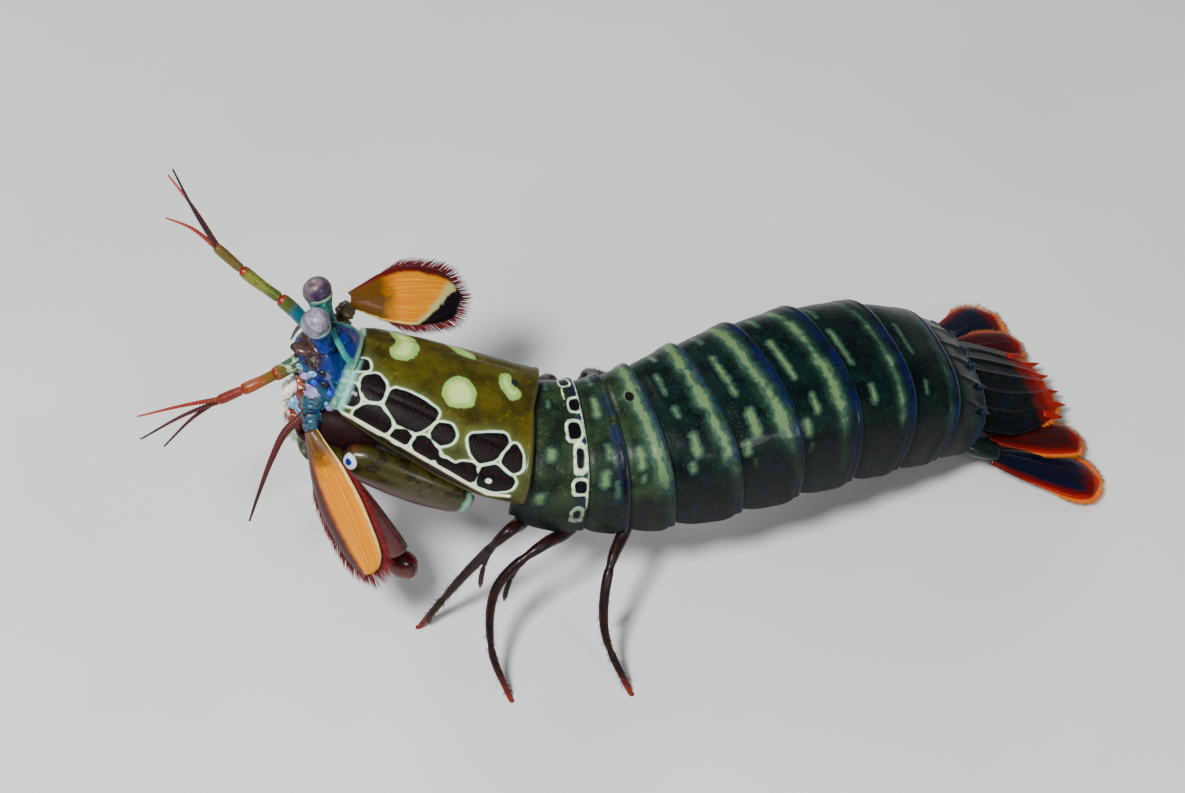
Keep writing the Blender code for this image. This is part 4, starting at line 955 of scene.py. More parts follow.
def lobe_finish(name, flank, heart, margin):
    paint = Finish(name, roughness=0.3, coat=0.3, gloss=0.15)
    f, v = paint.marks("f"), abs(paint.marks("v"))
    lined = paint.lines(f * 2.0, paint.marks("v") * 10.0)
    ragged = paint.ragged(1.6, 0.4)
    colour = lined.rise(0.35, 0.65).over(heart, flank)
    colour = (v + ragged * 0.5).rise(0.66, 0.86).over(colour, margin)
    colour = (f + ragged * 0.4).rise(0.82, 0.93).over(colour, margin)
    colour = ((v + ragged * 0.3).rise(0.86, 1.0) * f.rise(0.2, 0.5)).over(colour, (140, 20, 2))
    colour = (f + ragged * 0.2).rise(0.93, 1.0).over(colour, (160, 34, 2))
    return paint.done(colour, 0.26 + lined * 0.2, lined * 0.7 + paint.grain(0.3, 2.0) * 0.3, 0.05)


def tail_fan(side_name, side, base_finish, outer_finish, inner_finish, bristle):
    """One side of the fan: a base with two spines, then an outer and an inner lobe."""
    _, right, up = axes(122.0)
    node = f"uropod_base_{side_name}"
    piece = Piece()
    points = route(places(UROPOD_BASE, side), 24)
    f = np.linspace(0, 1, 24)
    piece.rod(points, np.interp(f, (0, 0.5, 1), (1.8, 2.6, 2.4)), 28, flat=axes(110.0)[1],
              squash=np.interp(f, (0, 0.5, 1), (0.83, 0.62, 0.54)))
    piece.ball(points[0], (2.1, 2.0, 1.7), points[1] - points[0], up, 20, 28)
    for root, tip, radius in UROPOD_SPINES:
        piece.thorn(*places((root, tip), side), radius, 14)
    piece.make(node + "_joint", base_finish, "uropod", node)
    for part, ends, outline, cup, bow, from_f, long, material, seed in (
            ("outer", EXOPOD, EXOPOD_WIDTHS, 0.6, 0.0, 0.45, 2.1, outer_finish, 31 + side),
            ("inner", ENDOPOD, ENDOPOD_WIDTHS, 0.2, 0.2, 0.3, 1.9, inner_finish, 41 + side)):
        root, tip = places(ends, side)
        root = root - unit(tip - root) * 1.2
        outline = [(fraction, width, width) for fraction, width in outline]
        points, f, v, way, top = blade_points(root, tip, up, outline, cup, bow)
        points = points + top * LOBE_LIFT
        thick = 0.7 * (1 - 0.4 * abs(v) ** 3) + 0.3 * hump(v, 0.1) * (1 - f)
        piece = Piece()
        piece.plate(points, thick, f=f, v=v)
        if part == "outer":
            for k in range(8):
                at = 0.1 + 0.06 * k
                base = root + (tip - root) * at + right * side * (smooth(outline, 1, at) - 0.5) - top * 0.2
                piece.thorn(base, base + right * side * 1.2 + way * (1.7 + 0.25 * k), 0.42, f=0.5, v=0.9)
        piece.raise_to(FLOOR_GAP)
        node = f"uropod_{part}_{side_name}"
        piece.make(node + "_lobe", material, "uropod", node)
        raised = np.maximum(points, [-1e3, -1e3, LOBE_LIFT])
        roots, ways, lengths = fringe(raised, way, from_f, 0.06, long, 0.06, seed, tilt=0.8)
        tips = roots + unit(ways) * lengths[:, None]
        ways[:, 2] = np.where(tips[:, 2] < 0.3, np.maximum(ways[:, 2], FLOOR_GAP), ways[:, 2])
        bristles(node + "_fringe", bristle, roots, ways, lengths, 0.08, way * 0.1, "uropod", seed)


# Claws

MERUS = ((24.4, 10.6, -5.6), (14.0, 11.4, -4.7), (3.8, 11.6, -4.2))
MERUS_WIDTHS = ((0, 1.7, 1.3), (0.15, 3.0, 2.0), (0.5, 3.8, 2.4), (0.85, 3.5, 2.3), (1, 2.1, 1.7))
HAND_WIDTHS = ((0, 1.8, 1.4), (0.12, 2.6, 1.7), (0.45, 3.0, 1.8), (0.8, 2.6, 1.7), (1, 2.1, 1.5))
ISCHIUM = ((19.0, 7.6, -6.2), (22.5, 9.2, -6.4), (24.0, 10.6, -6.0))
WRIST = (2.6, 11.8, -6.6)
PROPODUS = ((3.6, 12.0, -8.4), (11.5, 12.6, -14.6), (19.4, 13.2, -20.4))
HEEL = (20.6, 13.4, -22.6)
FINGER = ((20.8, 13.4, -24.0), (14.5, 13.2, -22.0), (7.6, 12.9, -16.9))


def limb(piece, points, widths, flat, **marks):
    """An oval limb: widths rows are fraction of the way, half width, half thickness."""
    f = np.linspace(0, 1, len(points))
    width, depth = columns(widths, f)
    ends = np.sqrt(np.clip(1 - np.clip((abs(f - 0.5) - 0.46) / 0.04, 0, 1) ** 2, 0.05, 1))
    piece.rod(points, width * ends, 36, flat=flat, squash=depth / width, **marks)


def arm_finish():
    """Olive above, darker below, with a blue-white mark near the wrist and pale ends."""
    paint = Finish("claw_arm_finish", coat=0.3)
    along, mark = paint.marks("along", "mark")
    ragged = paint.ragged(1.2, 0.8)
    colour = paint.patches((46, 42, 6), ((28, 22, 4), 2.4, 0.08, 27), ((84, 80, 26), 0.9, -0.06, 28))
    colour = (paint.marks("height") + ragged * 0.8).under(-0.6, 0.9).over(colour, (58, 6, 6))
    colour = (along + ragged * 0.05).rise(0.9, 0.96).over(colour, (70, 40, 16))
    colour = (along + ragged * 0.05).under(0.07, 0.04).over(colour, (110, 160, 140))
    colour = (mark + ragged * 0.3).under(0.0, 0.3).over(colour, (190, 214, 220))
    colour = (mark + ragged * 0.2).under(-0.75, 0.2).over(colour, (16, 30, 120))
    fine = paint.grain(0.4)
    return paint.done(colour, 0.26 + fine * 0.2, fine * 0.6 + paint.grain(2.5, 2.0) * 1.5, 0.07)


def club_finish():
    """Polished deep red, with small pale pink patches that are a painted highlight, blackish at the joints.
    """
    paint = Finish("claw_club_finish", coat=0.5, gloss=0.35)
    along = paint.marks("along")
    ragged = paint.ragged(1.4, 0.5)
    # Among the reds, the small pale pink patches are a painted highlight.
    colour = paint.patches((92, 5, 3), ((56, 3, 4), 2.0, 0.08, 29), ((140, 16, 8), 1.4, -0.03, 30),
                           ((180, 100, 90), 0.5, -0.14, 31))
    colour = (along + ragged * 0.2).under(0.1, 0.1).over(colour, (36, 6, 10))
    colour = ((along + ragged * 0.2).rise(0.9, 1.0) * 0.6).over(colour, (36, 6, 10))
    fine = paint.grain(0.35)
    return paint.done(colour, 0.16 + fine * 0.18, fine * 0.4 + paint.grain(2.0, 2.0) * 1.5, 0.06)


def claw(side_name, side, arm_finish, club_finish):
    """Merus, wrist, hand and club of one striking claw."""
    tailward, right, up = axes(12.0)
    front, middle, rear = places(MERUS, side)[::-1]
    axis = unit(rear - front)
    rise = unit(up - axis * np.dot(up, axis))
    piece = Piece()
    limb(piece, route([rear, middle, front], 80), MERUS_WIDTHS, up,
         mark=near(place(4.6, side * 13.2, -3.4), 1.35), height=lambda points: (points - middle) @ rise)
    piece.rod(route(places(ISCHIUM, side), 16), np.linspace(1.9, 1.7, 16), 24, mark=FAR_OFF, height=1.0)
    for k in range(3):
        root = place(9.0 + 5 * k, side * 11.6, -1.4 - 0.5 * k)
        tip = root + right * side * 0.3 - tailward * 0.8 + up * 0.35
        piece.thorn(root, tip, 0.3, 8, mark=FAR_OFF, along=0.5, height=1.0)
    piece.make(f"claw_merus_{side_name}_arm", arm_finish, "claw_merus", f"claw_merus_{side_name}")
    piece = Piece()
    piece.ball(places([WRIST], side)[0], (2.5, 2.1, 2.9), tailward, up, 30, 36, mark=FAR_OFF, height=0.0)
    piece.make(f"claw_wrist_{side_name}_joint", arm_finish, "claw", f"claw_wrist_{side_name}")
    piece = Piece()
    points = route(places(PROPODUS, side), 60)
    limb(piece, points, HAND_WIDTHS, up + tailward * 0.6)
    for k, point in enumerate(points[14:50:4]):
        piece.thorn(point - up * 1.4, point - up * (2.7 + 0.05 * k) + tailward * 0.3, 0.3, 8)
    piece.make(f"claw_hand_{side_name}_shell", club_finish, "claw", f"claw_hand_{side_name}")
    piece = Piece()
    piece.ball(places([HEEL], side)[0], (2.9, 2.2, 2.5), tailward - up * 0.5, up, 30, 36)
    piece.rod(route(places(FINGER, side), 50), ((0, 1.6), (0.3, 1.2), (0.7, 0.8), (1, 0.2)), 24)
    piece.make(f"claw_club_{side_name}_shell", club_finish, "claw", f"claw_club_{side_name}")


# The eyes

def eye_finish():
    paint = Finish("eye_facet_finish", roughness=0.2, coat=0.6)
    high, along = paint.marks("high", "along")
    band = abs(high).under(0.13, 0.05)
    facets = paint.cells(0.16)
    light = paint.grain(1.2).rise(0.35, 0.65).over((104, 98, 116), (150, 146, 156))
    # The far eye gets darker, duskier tones and a heavier dark rim: painted shade.
    shaded_far_eye = paint.grain(1.2).rise(0.35, 0.65).over((74, 56, 66), (110, 92, 98))
    far = paint.marks("far")
    colour = far.over(light, shaded_far_eye)
    rim = along.rise(0.42, 0.56)
    colour = (rim * (0.5 + far * 0.4)).over(colour, (44, 24, 56))
    colour = (band * 0.6).over(colour, (70, 64, 82))
    colour = (facets.rise(0.3, 0.7) * 0.25).over(colour, (60, 52, 70))
    return paint.done(colour, 0.22 + facets * 0.3, facets * -1.0, 0.02)


def eyes(material):
    tailward, right, up = axes(-8.0)
    for side_name, side in SIDES.items():
        way = unit(right * side * 0.5 - tailward * 0.8 + up * 0.3)
        piece = Piece()
        # The far mark makes the finish paint shade on the right eye.
        piece.ball(place(*EYES[side]), (2.05, 2.2, 2.35), way, up, 48, 64, far=float(side == RIGHT),
                   shape=lambda local: 1 - 0.05 * hump(local[..., 2], 0.12))
        piece.make(f"eye_{side_name}_cornea", material, "eye", f"eye_{side_name}")


# The head

# Rows of the head from its front: distance back, height of the middle, half width and half height
HEAD = ((-9.0, 2.9, 0.6, 0.6), (-8.2, 2.9, 2.4, 2.2), (-6.6, 2.3, 4.2, 4.0), (-4.8, 1.4, 5.4, 5.0),
        (-2.5, 0.0, 6.2, 5.2), (-0.1, -1.2, 6.3, 5.0), (1.2, -1.4, 6.2, 5.0))
HEAD_SQUARENESS = 2.3
ROSTRUM = ((-5.1, 8.9, 0.35), (-4.6, 8.65, 0.8), (-3.4, 8.0, 1.9), (-1.6, 6.9, 2.9), (-0.1, 5.9, 3.1))
CHEST = ((0.15, -1.6, 5.9, 5.0), (2.0, -1.6, 7.4, 6.4), (6.0, -1.6, 8.3, 7.6), (14.0, -1.6, 8.7, 8.2),
         (22.0, -1.4, 8.9, 8.4), (29.8, -0.8, 9.8, 8.0))


def head_finish():
    paint = Finish("head_shell_finish", coat=0.4)
    s, high = paint.marks("s", "high")
    ragged = paint.ragged(1.4, 2.0)
    colour = paint.patches((8, 60, 84), ((10, 34, 104), 1.8, 0.12, 1), ((4, 14, 30), 1.2, 0.02, 34),
                           ((50, 140, 160), 0.9, -0.02, 2), ((190, 220, 220), 0.6, -0.09, 3),
                           ((150, 80, 40), 0.6, -0.12, 35))
    crown = paint.patches((8, 40, 104), ((12, 88, 96), 1.8, 0.06, 4))
    colour = (high + ragged).rise(2.6, 4.2).over(colour, crown)
    taupe = (s + ragged * 0.6).under(-4.6, 1.6) * (high + ragged * 0.5).rise(0.8, 2.4)
    colour = taupe.over(colour, paint.patches((60, 38, 34), ((34, 18, 22), 1.2, 0.08, 5)))
    colour = ((high + ragged * 0.6).under(-2.6, 1.6) * 0.8).over(colour, (30, 22, 34))
    rim = (s + ragged * 0.3).rise(-1.3, -0.4)
    colour = (rim * 0.9).over(colour, paint.grain(0.8).rise(0.4, 0.6).over((96, 170, 160), (176, 216, 190)))
    fine = paint.grain(0.35)
    return paint.done(colour, 0.24 + fine * 0.2, fine * 0.6 + paint.cells(0.6).under(0.3, 0.2) * -0.5, 0.07)


def head_shell(material):
    """The head before the shield, lumpy at the cheeks, with the eye plate above and the lip below."""
    s = np.linspace(1.2, -9.0, 80)[:, None]
    turn = (2 * math.pi * np.arange(96) / 96)[None]
    middle, half, height = columns(HEAD, s)
    cosine, sine = np.cos(turn), np.sin(turn)
    lump = 1 + 0.035 * np.sin(3 * turn + 0.9 * s) + 0.02 * np.sin(7 * turn - 1.7 * s)
    cheek = 1 - 0.08 * hump(abs(cosine) - 0.72, 0.12) * (sine > 0)
    squared = (abs(cosine) ** HEAD_SQUARENESS + abs(sine) ** HEAD_SQUARENESS) ** (-1 / HEAD_SQUARENESS)
    reach = squared * lump * cheek
    y, z = half * cosine * reach, middle + height * sine * reach
    piece = Piece()
    piece.tube(place(s, y, z), s=s + 0 * turn, high=z - middle)
    tailward, _, up = axes(-5.0)
    piece.ball(place(-5.0, 0, 6.4), (2.0, 3.3, 1.6), tailward, up, 30, 48, s=-3.0, high=6.0,
               shape=lambda local: 1 + 0.07 * hump(local[..., 1], 0.1))
    piece.ball(place(-6.0, 0, -2.6), (1.9, 2.0, 1.9), tailward, up, 24, 32, s=-4.0, high=-4.0)
    for side in SIDES.values():
        way = tailward + up * 0.25
        piece.ball(place(-7.4, side * 2.5, 5.0), (2.3, 1.3, 0.75), way, up, 24, 32, s=-8.0, high=3.0)
    piece.make("head_shell", material, replaces="head", slot="head")


def rostral_shell(material):
    """The small three-cornered plate before the shield, keeled and pointed."""
    s = np.linspace(-0.1, -5.1, 60)[:, None]
    v = np.linspace(-1, 1, 49)[None]
    z, half = columns(ROSTRUM, s)
    keel = 0.3 * hump(v, 0.14) * np.clip((-s - 0.6) / 1.5, 0, 1)
    rim = 0.14 * hump(abs(v) - 0.92, 0.08)
    points = place(s, v * half, z - 0.25 * v * v * half + keel + rim)
    piece = Piece()
    piece.plate(points, 0.7, s=s + 0 * v, v=v + 0 * s)
    piece.make("rostral_shell", material, replaces="rostral_plate", slot="rostral_plate")


def rostral_finish():
    paint = Finish("rostral_finish", coat=0.5)
    s, v = paint.marks("s"), abs(paint.marks("v"))
    ragged = paint.ragged(1.0, 0.6)
    colour = paint.patches((8, 34, 110), ((6, 20, 70), 1.3, 0.1, 6), ((20, 96, 110), 0.9, -0.02, 7))
    colour = (v + ragged).rise(0.7, 0.95).over(colour, (40, 130, 120))
    colour = (s + ragged).rise(-1.0, -0.3).over(colour, (110, 160, 130))
    fine = paint.grain(0.35)
    return paint.done(colour, 0.2 + fine * 0.2, fine * 0.6, 0.05)


def stalk_finish():
    paint = Finish("eyestalk_finish", coat=0.4)
    along, right = paint.marks("along", "right")
    ragged = paint.ragged(1.0, 0.6)
    blue = paint.patches((8, 40, 130), ((10, 24, 80), 1.2, 0.08, 8), ((24, 110, 130), 0.8, 0.0, 9))
    green = paint.patches((16, 96, 92), ((10, 60, 80), 1.2, 0.08, 10), ((80, 150, 110), 0.8, -0.02, 11))
    colour = right.over(blue, green)
    colour = ((along + ragged * 0.3).rise(0.86, 0.94) * 0.8).over(colour, (120, 150, 120))
    fine = paint.grain(0.3)
    return paint.done(colour, 0.25 + fine * 0.2, fine * 0.6 + paint.marks("length").wave(0.55) * 0.25, 0.05)


def eyestalks(material):
    for side_name, side in SIDES.items():
        s, y, z = EYES[side]
        bends = place(-4.9, side * 1.8, 6.4), place(s * 0.55 - 2.2, y * 0.78, 9.2), place(s + 0.3, y, z - 0.4)
        radii = ((0, 1.35), (0.3, 1.45), (0.6, 1.6), (0.82, 1.9), (0.93, 2.08), (1, 1.9))
        piece = Piece()
        piece.rod(route(bends, 50), radii, 40, right=float(side == RIGHT))
        piece.make(f"eyestalk_{side_name}_skin", material, "eyestalk", f"eyestalk_{side_name}")


ANTENNULES = {
    "left": (((-7.2, -2.3, 2.6), (-8.9, -3.9, 0.9), (-11.6, -7.0, 0.3), (-17.0, -10.0, -4.2)),
             (((-20.6, -11.8, -7.2), (-25.9, -15.0, -12.7)), ((-21.0, -12.4, -4.2), (-27.5, -16.5, -5.5)),
              ((-19.6, -11.2, -8.6), (-22.2, -13.6, -14.5)))),
    "right": (((-7.4, 2.3, 4.2), (-11.0, 2.5, 6.9), (-18.2, 3.0, 10.0), (-24.8, 3.5, 13.5)),
              (((-29.6, 4.0, 19.2), (-34.1, 5.0, 24.7)), ((-29.3, 4.2, 14.9), (-32.9, 4.0, 15.3)),
               ((-29.8, 6.0, 17.4), (-34.6, 8.8, 19.0))))}
ANTENNULE_JOINTS = ((0, 1.0), (0.06, 1.08), (0.3, 1.12), (0.345, 0.98), (0.36, 0.6), (0.375, 0.84),
                    (0.45, 0.82),
                    (0.66, 0.94), (0.715, 0.84), (0.73, 0.5), (0.745, 0.7), (0.94, 0.8), (0.98, 0.7),
                    (1, 0.45))


def feeler_joint_finish(name, tones):
    """Tones are the colours from the head outwards; the narrow joints between segments are dark."""
    paint = Finish(name, coat=0.3)
    along = paint.marks("along")
    ragged = paint.ragged(1.2, 0.12)
    colour = paint.patches(tones[0], (tones[1], 1.2, 0.1, 12))
    for k, tone in enumerate(tones[2:]):
        colour = (along + ragged).rise(0.2 + 0.22 * k, 0.3 + 0.22 * k).over(colour, tone)
    colour = (paint.grain(0.7).rise(0.56, 0.66) * 0.6).over(colour, (60, 70, 20))
    for at in (0.36, 0.73):
        colour = (abs(along - at) + ragged * 0.3).under(0.022, 0.02).over(colour, (120, 30, 16))
    fine = paint.grain(0.3)
    return paint.done(colour, 0.28 + fine * 0.2, fine, 0.05)


def whip_finish(name, root, middle, tip):
    paint = Finish(name, roughness=0.4)
    along, length = paint.marks("along", "length")
    colour = along.rise(0.0, 0.35).over(root, middle)
    colour = along.rise(0.5, 1.0).over(colour, tip)
    colour = (length.wave(0.5).rise(0.2, 0.9) * 0.4).over(colour, (30, 12, 14))
    return paint.done(colour, 0.35 + paint.grain(0.3) * 0.2, length.wave(0.5) * 0.5, 0.03)


def whip(piece, bends, start, end):
    """A jointed whip, its rings standing a little proud."""
    points = route(bends, 150)
    length = run(points)
    taper = start + (end - start) * (length / length[-1]) ** 0.8
    piece.rod(points, taper * (1 + 0.07 * np.sin(2 * math.pi * length / 0.5)), 12)


def antennules(joint_finishes, whip_finishes):
    """The smaller feelers: three joints each, then three whips."""
    for side_name, (joints, whips) in ANTENNULES.items():
        node = f"antennule_{side_name}"
        joints = places(joints)
        piece = Piece()
        piece.rod(route(joints, 110), ANTENNULE_JOINTS, 28)
        piece.make(node + "_joints", joint_finishes[side_name], "antennule", node)
        for k, bends in enumerate(whips):
            start = joints[-1] + unit(joints[-2] - joints[-1]) * 0.8 + np.array([0, 0, 0.35 * (k - 1)])
            piece = Piece()
            whip(piece, [start, *places(bends)], 0.44, 0.13)
            piece.make(f"{node}_whip_{k + 1}", whip_finishes[side_name][k], "antennule")


ANTENNAE = {
    "left": (((-3.2, -4.6, -0.4), (-3.2, -7.2, -2.2), (-1.9, -9.4, -4.0)),
             ((-3.6, -7.4, -3.4), (-5.4, -9.0, -7.0), (-5.9, -11.6, -11.8), (-5.8, -14.0, -15.9),
              (-5.4, -17.0, -21.3))),
    "right": (((-3.2, 4.6, 2.2), (-3.4, 6.6, 4.4), (-3.0, 8.0, 6.2)),
              ((-4.2, 6.4, 3.2), (-5.8, 9.0, 0.0), (-7.2, 11.6, -5.2), (-8.0, 14.0, -11.0),
               (-8.0, 16.4, -17.0)))}


def antenna_finish(name, base, second):
    """The feeler's root: lilac above, bright blue below, a pale blue-white patch towards the shield."""
    paint = Finish(name, coat=0.4)
    lilac, blue, white = paint.marks("lilac", "blue", "white")
    ragged = paint.ragged(0.9, 1.2)
    colour = paint.patches(base, (second, 0.9, 0.1, 13), ((90, 76, 60), 0.7, 0.0, 14),
                           ((5, 10, 22), 0.7, -0.02, 36))
    colour = (lilac + ragged).under(0.0, 0.5).over(colour, (140, 134, 176))
    colour = (blue + ragged).under(0.0, 0.5).over(colour, (14, 74, 170))
    colour = (white + ragged).under(0.0, 0.5).over(colour, (130, 196, 204))
    fine = paint.grain(0.3)
    return paint.done(colour, 0.24 + fine * 0.2, fine, 0.05)


def antennae(root_finishes, whip_material):
    """The larger feelers: a jointed root and one long whip each."""
    for side_name, side in SIDES.items():
        node = f"antenna_{side_name}"
        base, bends = ANTENNAE[side_name]
        marks = {key: near(place(s, side * y, z), radius) for key, s, y, z, radius in (
            ("lilac", -4.4, 5.2, 0.8, 1.9), ("blue", -2.6, 6.6, -2.8, 1.7), ("white", -0.6, 7.0, -2.2, 1.5))}
        f = np.linspace(0, 1, 60)
        radii = ((0, 1.8), (0.3, 1.9), (0.48, 1.7), (0.55, 1.1), (0.62, 1.55), (0.85, 1.4), (1, 0.9))
        piece = Piece()
        piece.rod(route(places(base), 60), smooth(radii, 1, f) * (1 + 0.04 * np.sin(f * 40)), 36, **marks)
        knuckle = place(-3.5, side * 6.6, {LEFT: -2.7, RIGHT: 3.2}[side])
        piece.ball(knuckle, (1.2, 1.2, 1.3), (0, side, -0.4), (0, 0, 1.0), 20, 28, **marks)
        piece.make(node + "_root", root_finishes[side_name], "antenna", node)
        piece = Piece()
        whip(piece, places(bends), 0.85, 0.16)
        piece.make(node + "_whip", whip_material, "antenna")


# The three small grasping limbs of each side, right side: root, elbow, wrist and hand, then the hand's size
MAXILLIPEDS = (
    ("maxilliped_3", ((2.6, 3.6, -7.0), (-1.0, 6.2, -8.6), (-3.6, 5.8, -6.4), (-5.4, 4.2, -5.6)), 1.55),
    ("maxilliped_4", ((5.6, 3.6, -8.0), (1.0, 6.4, -11.6), (-2.2, 6.0, -10.6), (-4.4, 4.0, -9.2)), 1.6),
    ("maxilliped_5", ((8.8, 3.6, -8.4), (4.0, 6.4, -14.4), (0.0, 6.0, -14.6), (-2.6, 4.0, -13.0)), 1.5))
MAXILLIPED_ARM = ((0, 1.1), (0.27, 0.98), (0.33, 0.7), (0.37, 0.86), (0.6, 0.86), (0.66, 0.6), (0.7, 0.76),
                  (1, 0.7))


def grasper_finish(name, arm, palm, tip):
    paint = Finish(name, coat=0.35)
    part, along = paint.marks("part", "along")
    ragged = paint.ragged(0.9, 0.4)
    colour = paint.patches(arm, ((22, 16, 26), 1.2, 0.06, 15), (palm, 1.0, -0.02, 16))
    colour = part.rise(0.4, 0.6).over(colour, paint.patches(palm, (tip, 0.9, 0.04, 17)))
    colour = part.rise(1.4, 1.6).over(colour, tip)
    colour = ((along + ragged).rise(0.75, 0.95) * part.under(0.6, 0.2) * 0.8).over(colour, palm)
    fine = paint.grain(0.3)
    return paint.done(colour, 0.26 + fine * 0.2, fine, 0.05)


def maxillipeds(finishes, bristle):
    """The small grasping limbs about the mouth, each with a hand, a claw and a brush of bristles."""
    tailward, right, up = axes(0.0)
    for side_name, side in SIDES.items():
        for k, (name, drawn, size) in enumerate(MAXILLIPEDS):
            node = f"{name}_{side_name}"
            hand = places(drawn, side)[-1]
            piece = Piece()
            piece.rod(route(places(drawn, side), 60), MAXILLIPED_ARM, 24, part=0.0)
            piece.ball(hand, (size, size * 0.62, size * 1.1), tailward, up, 22, 28, part=1.0)
            root, tip = hand + up * size * 0.5 - tailward * 0.6, hand - up * size * 1.7 - tailward * 0.9
            piece.thorn(root, tip, 0.42, bend=-tailward * 0.5, part=2.0)
            piece.make(node + "_limb", finishes[k], "maxilliped", node)
            rng = np.random.default_rng(60 + k + side)
            spots = unit(rng.normal(size=(90, 3)) - tailward * 0.6 - up * 0.5)
            spots -= np.outer(spots @ right, right) * 0.6
            ways = unit(spots) + rng.normal(0, 0.15, spots.shape)
            roots, lengths = hand + unit(spots) * size * 0.72, 0.7 + 0.5 * rng.random(90)
            bristles(node + "_brush", bristle, roots, ways, lengths, 0.05, -up * 0.2, "maxilliped", 80 + k)


# Small scales on the side of the face: distance back, height, size, and which colour
FACE_SCALES = (
    (-8.3, 1.2, 0.6, 1), (-8.0, 3.4, 0.65, 4), (-7.9, -0.2, 0.7, 1), (-7.3, 0.6, 0.6, 4),
    (-7.1, 2.2, 0.7, 0), (-7.0, -1.4, 0.75, 1), (-6.6, 3.8, 0.6, 4), (-6.3, 0.2, 0.7, 2),
    (-6.2, -2.6, 0.7, 1), (-5.9, 1.8, 0.7, 5), (-5.6, -1.0, 0.8, 2), (-5.2, 3.2, 0.65, 0),
    (-5.1, -3.0, 0.7, 2), (-4.8, 0.4, 0.7, 5), (-4.4, 2.0, 0.7, 3), (-4.2, -1.6, 0.8, 3),
    (-4.0, 4.0, 0.6, 4), (-3.7, -3.6, 0.7, 0), (-3.3, 0.0, 0.7, 0), (-3.0, 2.6, 0.7, 4),
    (-2.7, -2.4, 0.8, 3), (-2.2, -4.6, 0.7, 3), (-1.8, -0.8, 0.7, 0), (-1.6, 1.4, 0.7, 3),
    (-0.9, -3.4, 0.8, 0), (-0.6, -1.8, 0.6, 5), (-0.2, -5.0, 0.6, 0), (-4.7, -4.8, 0.6, 4),
    (-6.9, -3.6, 0.55, 0))


def face_finish():
    """Pale blue, cream, rust, bright blue, blue-black and lilac, by each scale's own mark."""
    paint = Finish("face_scale_finish", coat=0.4)
    tone = paint.marks("tone")
    colour = (120, 186, 206)
    for k, other in enumerate(((216, 206, 176), (150, 64, 20), (16, 66, 190), (5, 12, 26), (150, 140, 190))):
        colour = tone.rise(k + 0.45, k + 0.55).over(colour, other)
    colour = (paint.grain(0.5).rise(0.5, 0.62) * 0.6).over(colour, (20, 40, 70))
    fine = paint.grain(0.25)
    return paint.done(colour, 0.24 + fine * 0.25, fine, 0.05)


def face_scales(material):
    """A crowd of small flattened scales lying on the sides of the head."""
    rng = np.random.default_rng(5)
    tailward, right, up = axes(-4.0)
    piece = Piece()
    for side in SIDES.values():
        for s, z, size, tone in FACE_SCALES:
            middle, half, height = columns(HEAD, s)
            high = np.clip((z - middle) / height, -0.95, 0.95)
            y = half * (1 - abs(high) ** HEAD_SQUARENESS) ** (1 / HEAD_SQUARENESS)
            out = unit(right * side * y / half**2 + up * high / height - tailward * max(0.0, -s - 3) * 0.03)
            length, width = size * rng.uniform(0.9, 1.3), size * rng.uniform(0.7, 0.95)
            lean = unit(-tailward + up * rng.uniform(-0.8, 0.8))
            centre = place(s, side * (y + 0.1), z)
            piece.ball(centre, (length, width, size * 0.5), lean, out, 16, 22, tone=float(tone))
    piece.make("face_scales", material, "head")


JAW_FEELER = ((-4.5, 2.6, -2.0), (-7.0, 3.4, -3.4), (-7.6, 2.2, -5.4))


def mouth(palp_material, leaf_material):
    """The feelers of the jaws and the small leaves about the mouth."""
    tailward, right, up = axes(-5.0)
    radii = ((0, 1.1), (0.3, 1.2), (0.36, 0.8), (0.42, 1.15), (0.7, 1.1), (0.75, 0.75), (0.8, 0.95), (1, 0.5))
    palps, leaves = Piece(), Piece()
    for side in SIDES.values():
        palps.rod(route(places(JAW_FEELER, side), 40), radii, 24)
        palps.ball(place(-7.2, side * 4.3, -3.9), (0.95, 1.0, 1.25), tailward, up, 18, 24, along=0.55)
        for s, y, z, size in ((-5.0, 4.6, -3.2, 1.1), (-4.2, 5.2, -5.0, 0.9), (-6.0, 3.6, -5.2, 0.8)):
            way = tailward + right * side * 0.4
            leaves.ball(place(s, side * y, z), (size, size * 0.55, size * 1.3), way, up, 18, 24)
    palps.make("jaw_feelers", palp_material, "head")
    leaves.make("mouth_leaves", leaf_material, "head")


def chest_finish():
    paint = Finish("chest_skin_finish", roughness=0.5, gloss=0.1)
    colour = paint.patches((24, 5, 7), ((8, 3, 8), 1.6, 0.1, 18), ((50, 12, 12), 1.2, -0.04, 19),
                           ((60, 56, 30), 0.6, -0.12, 39))
    folds = paint.marks("s").wave(1.6)
    fine = paint.grain(0.4)
    colour = (folds.rise(0.2, 0.9) * 0.3).over(colour, (44, 24, 24))
    return paint.done(colour, 0.45 + fine * 0.25, folds * 0.6 + fine, 0.08)


def chest_skin(material):
    """The soft trunk under the shield, folded across."""
    s = np.linspace(0.1, 29.6, 140)[:, None]
    turn = (2 * math.pi * np.arange(96) / 96)[None]
    cosine, sine = np.cos(turn), np.sin(turn)
    middle, half, height = columns(CHEST, s)
    height = height * (1 - 0.08 * (sine > 0))
    fold = 1 - 0.02 * (np.sin(2 * math.pi * s / 3.4) ** 2) * (sine < 0.2)
    piece = Piece()
    piece.tube(place(s, half * cosine * fold, middle + height * sine * fold), s=s)
    tailward, _, up = axes(2.0)
    for side in SIDES.values():
        piece.ball(place(3.0, side * 6.9, -5.0), (5.8, 2.9, 4.0), tailward, up, 30, 40, s=2.0)
    piece.make("chest_skin", material, "thorax", "thorax_front")


# Walking legs

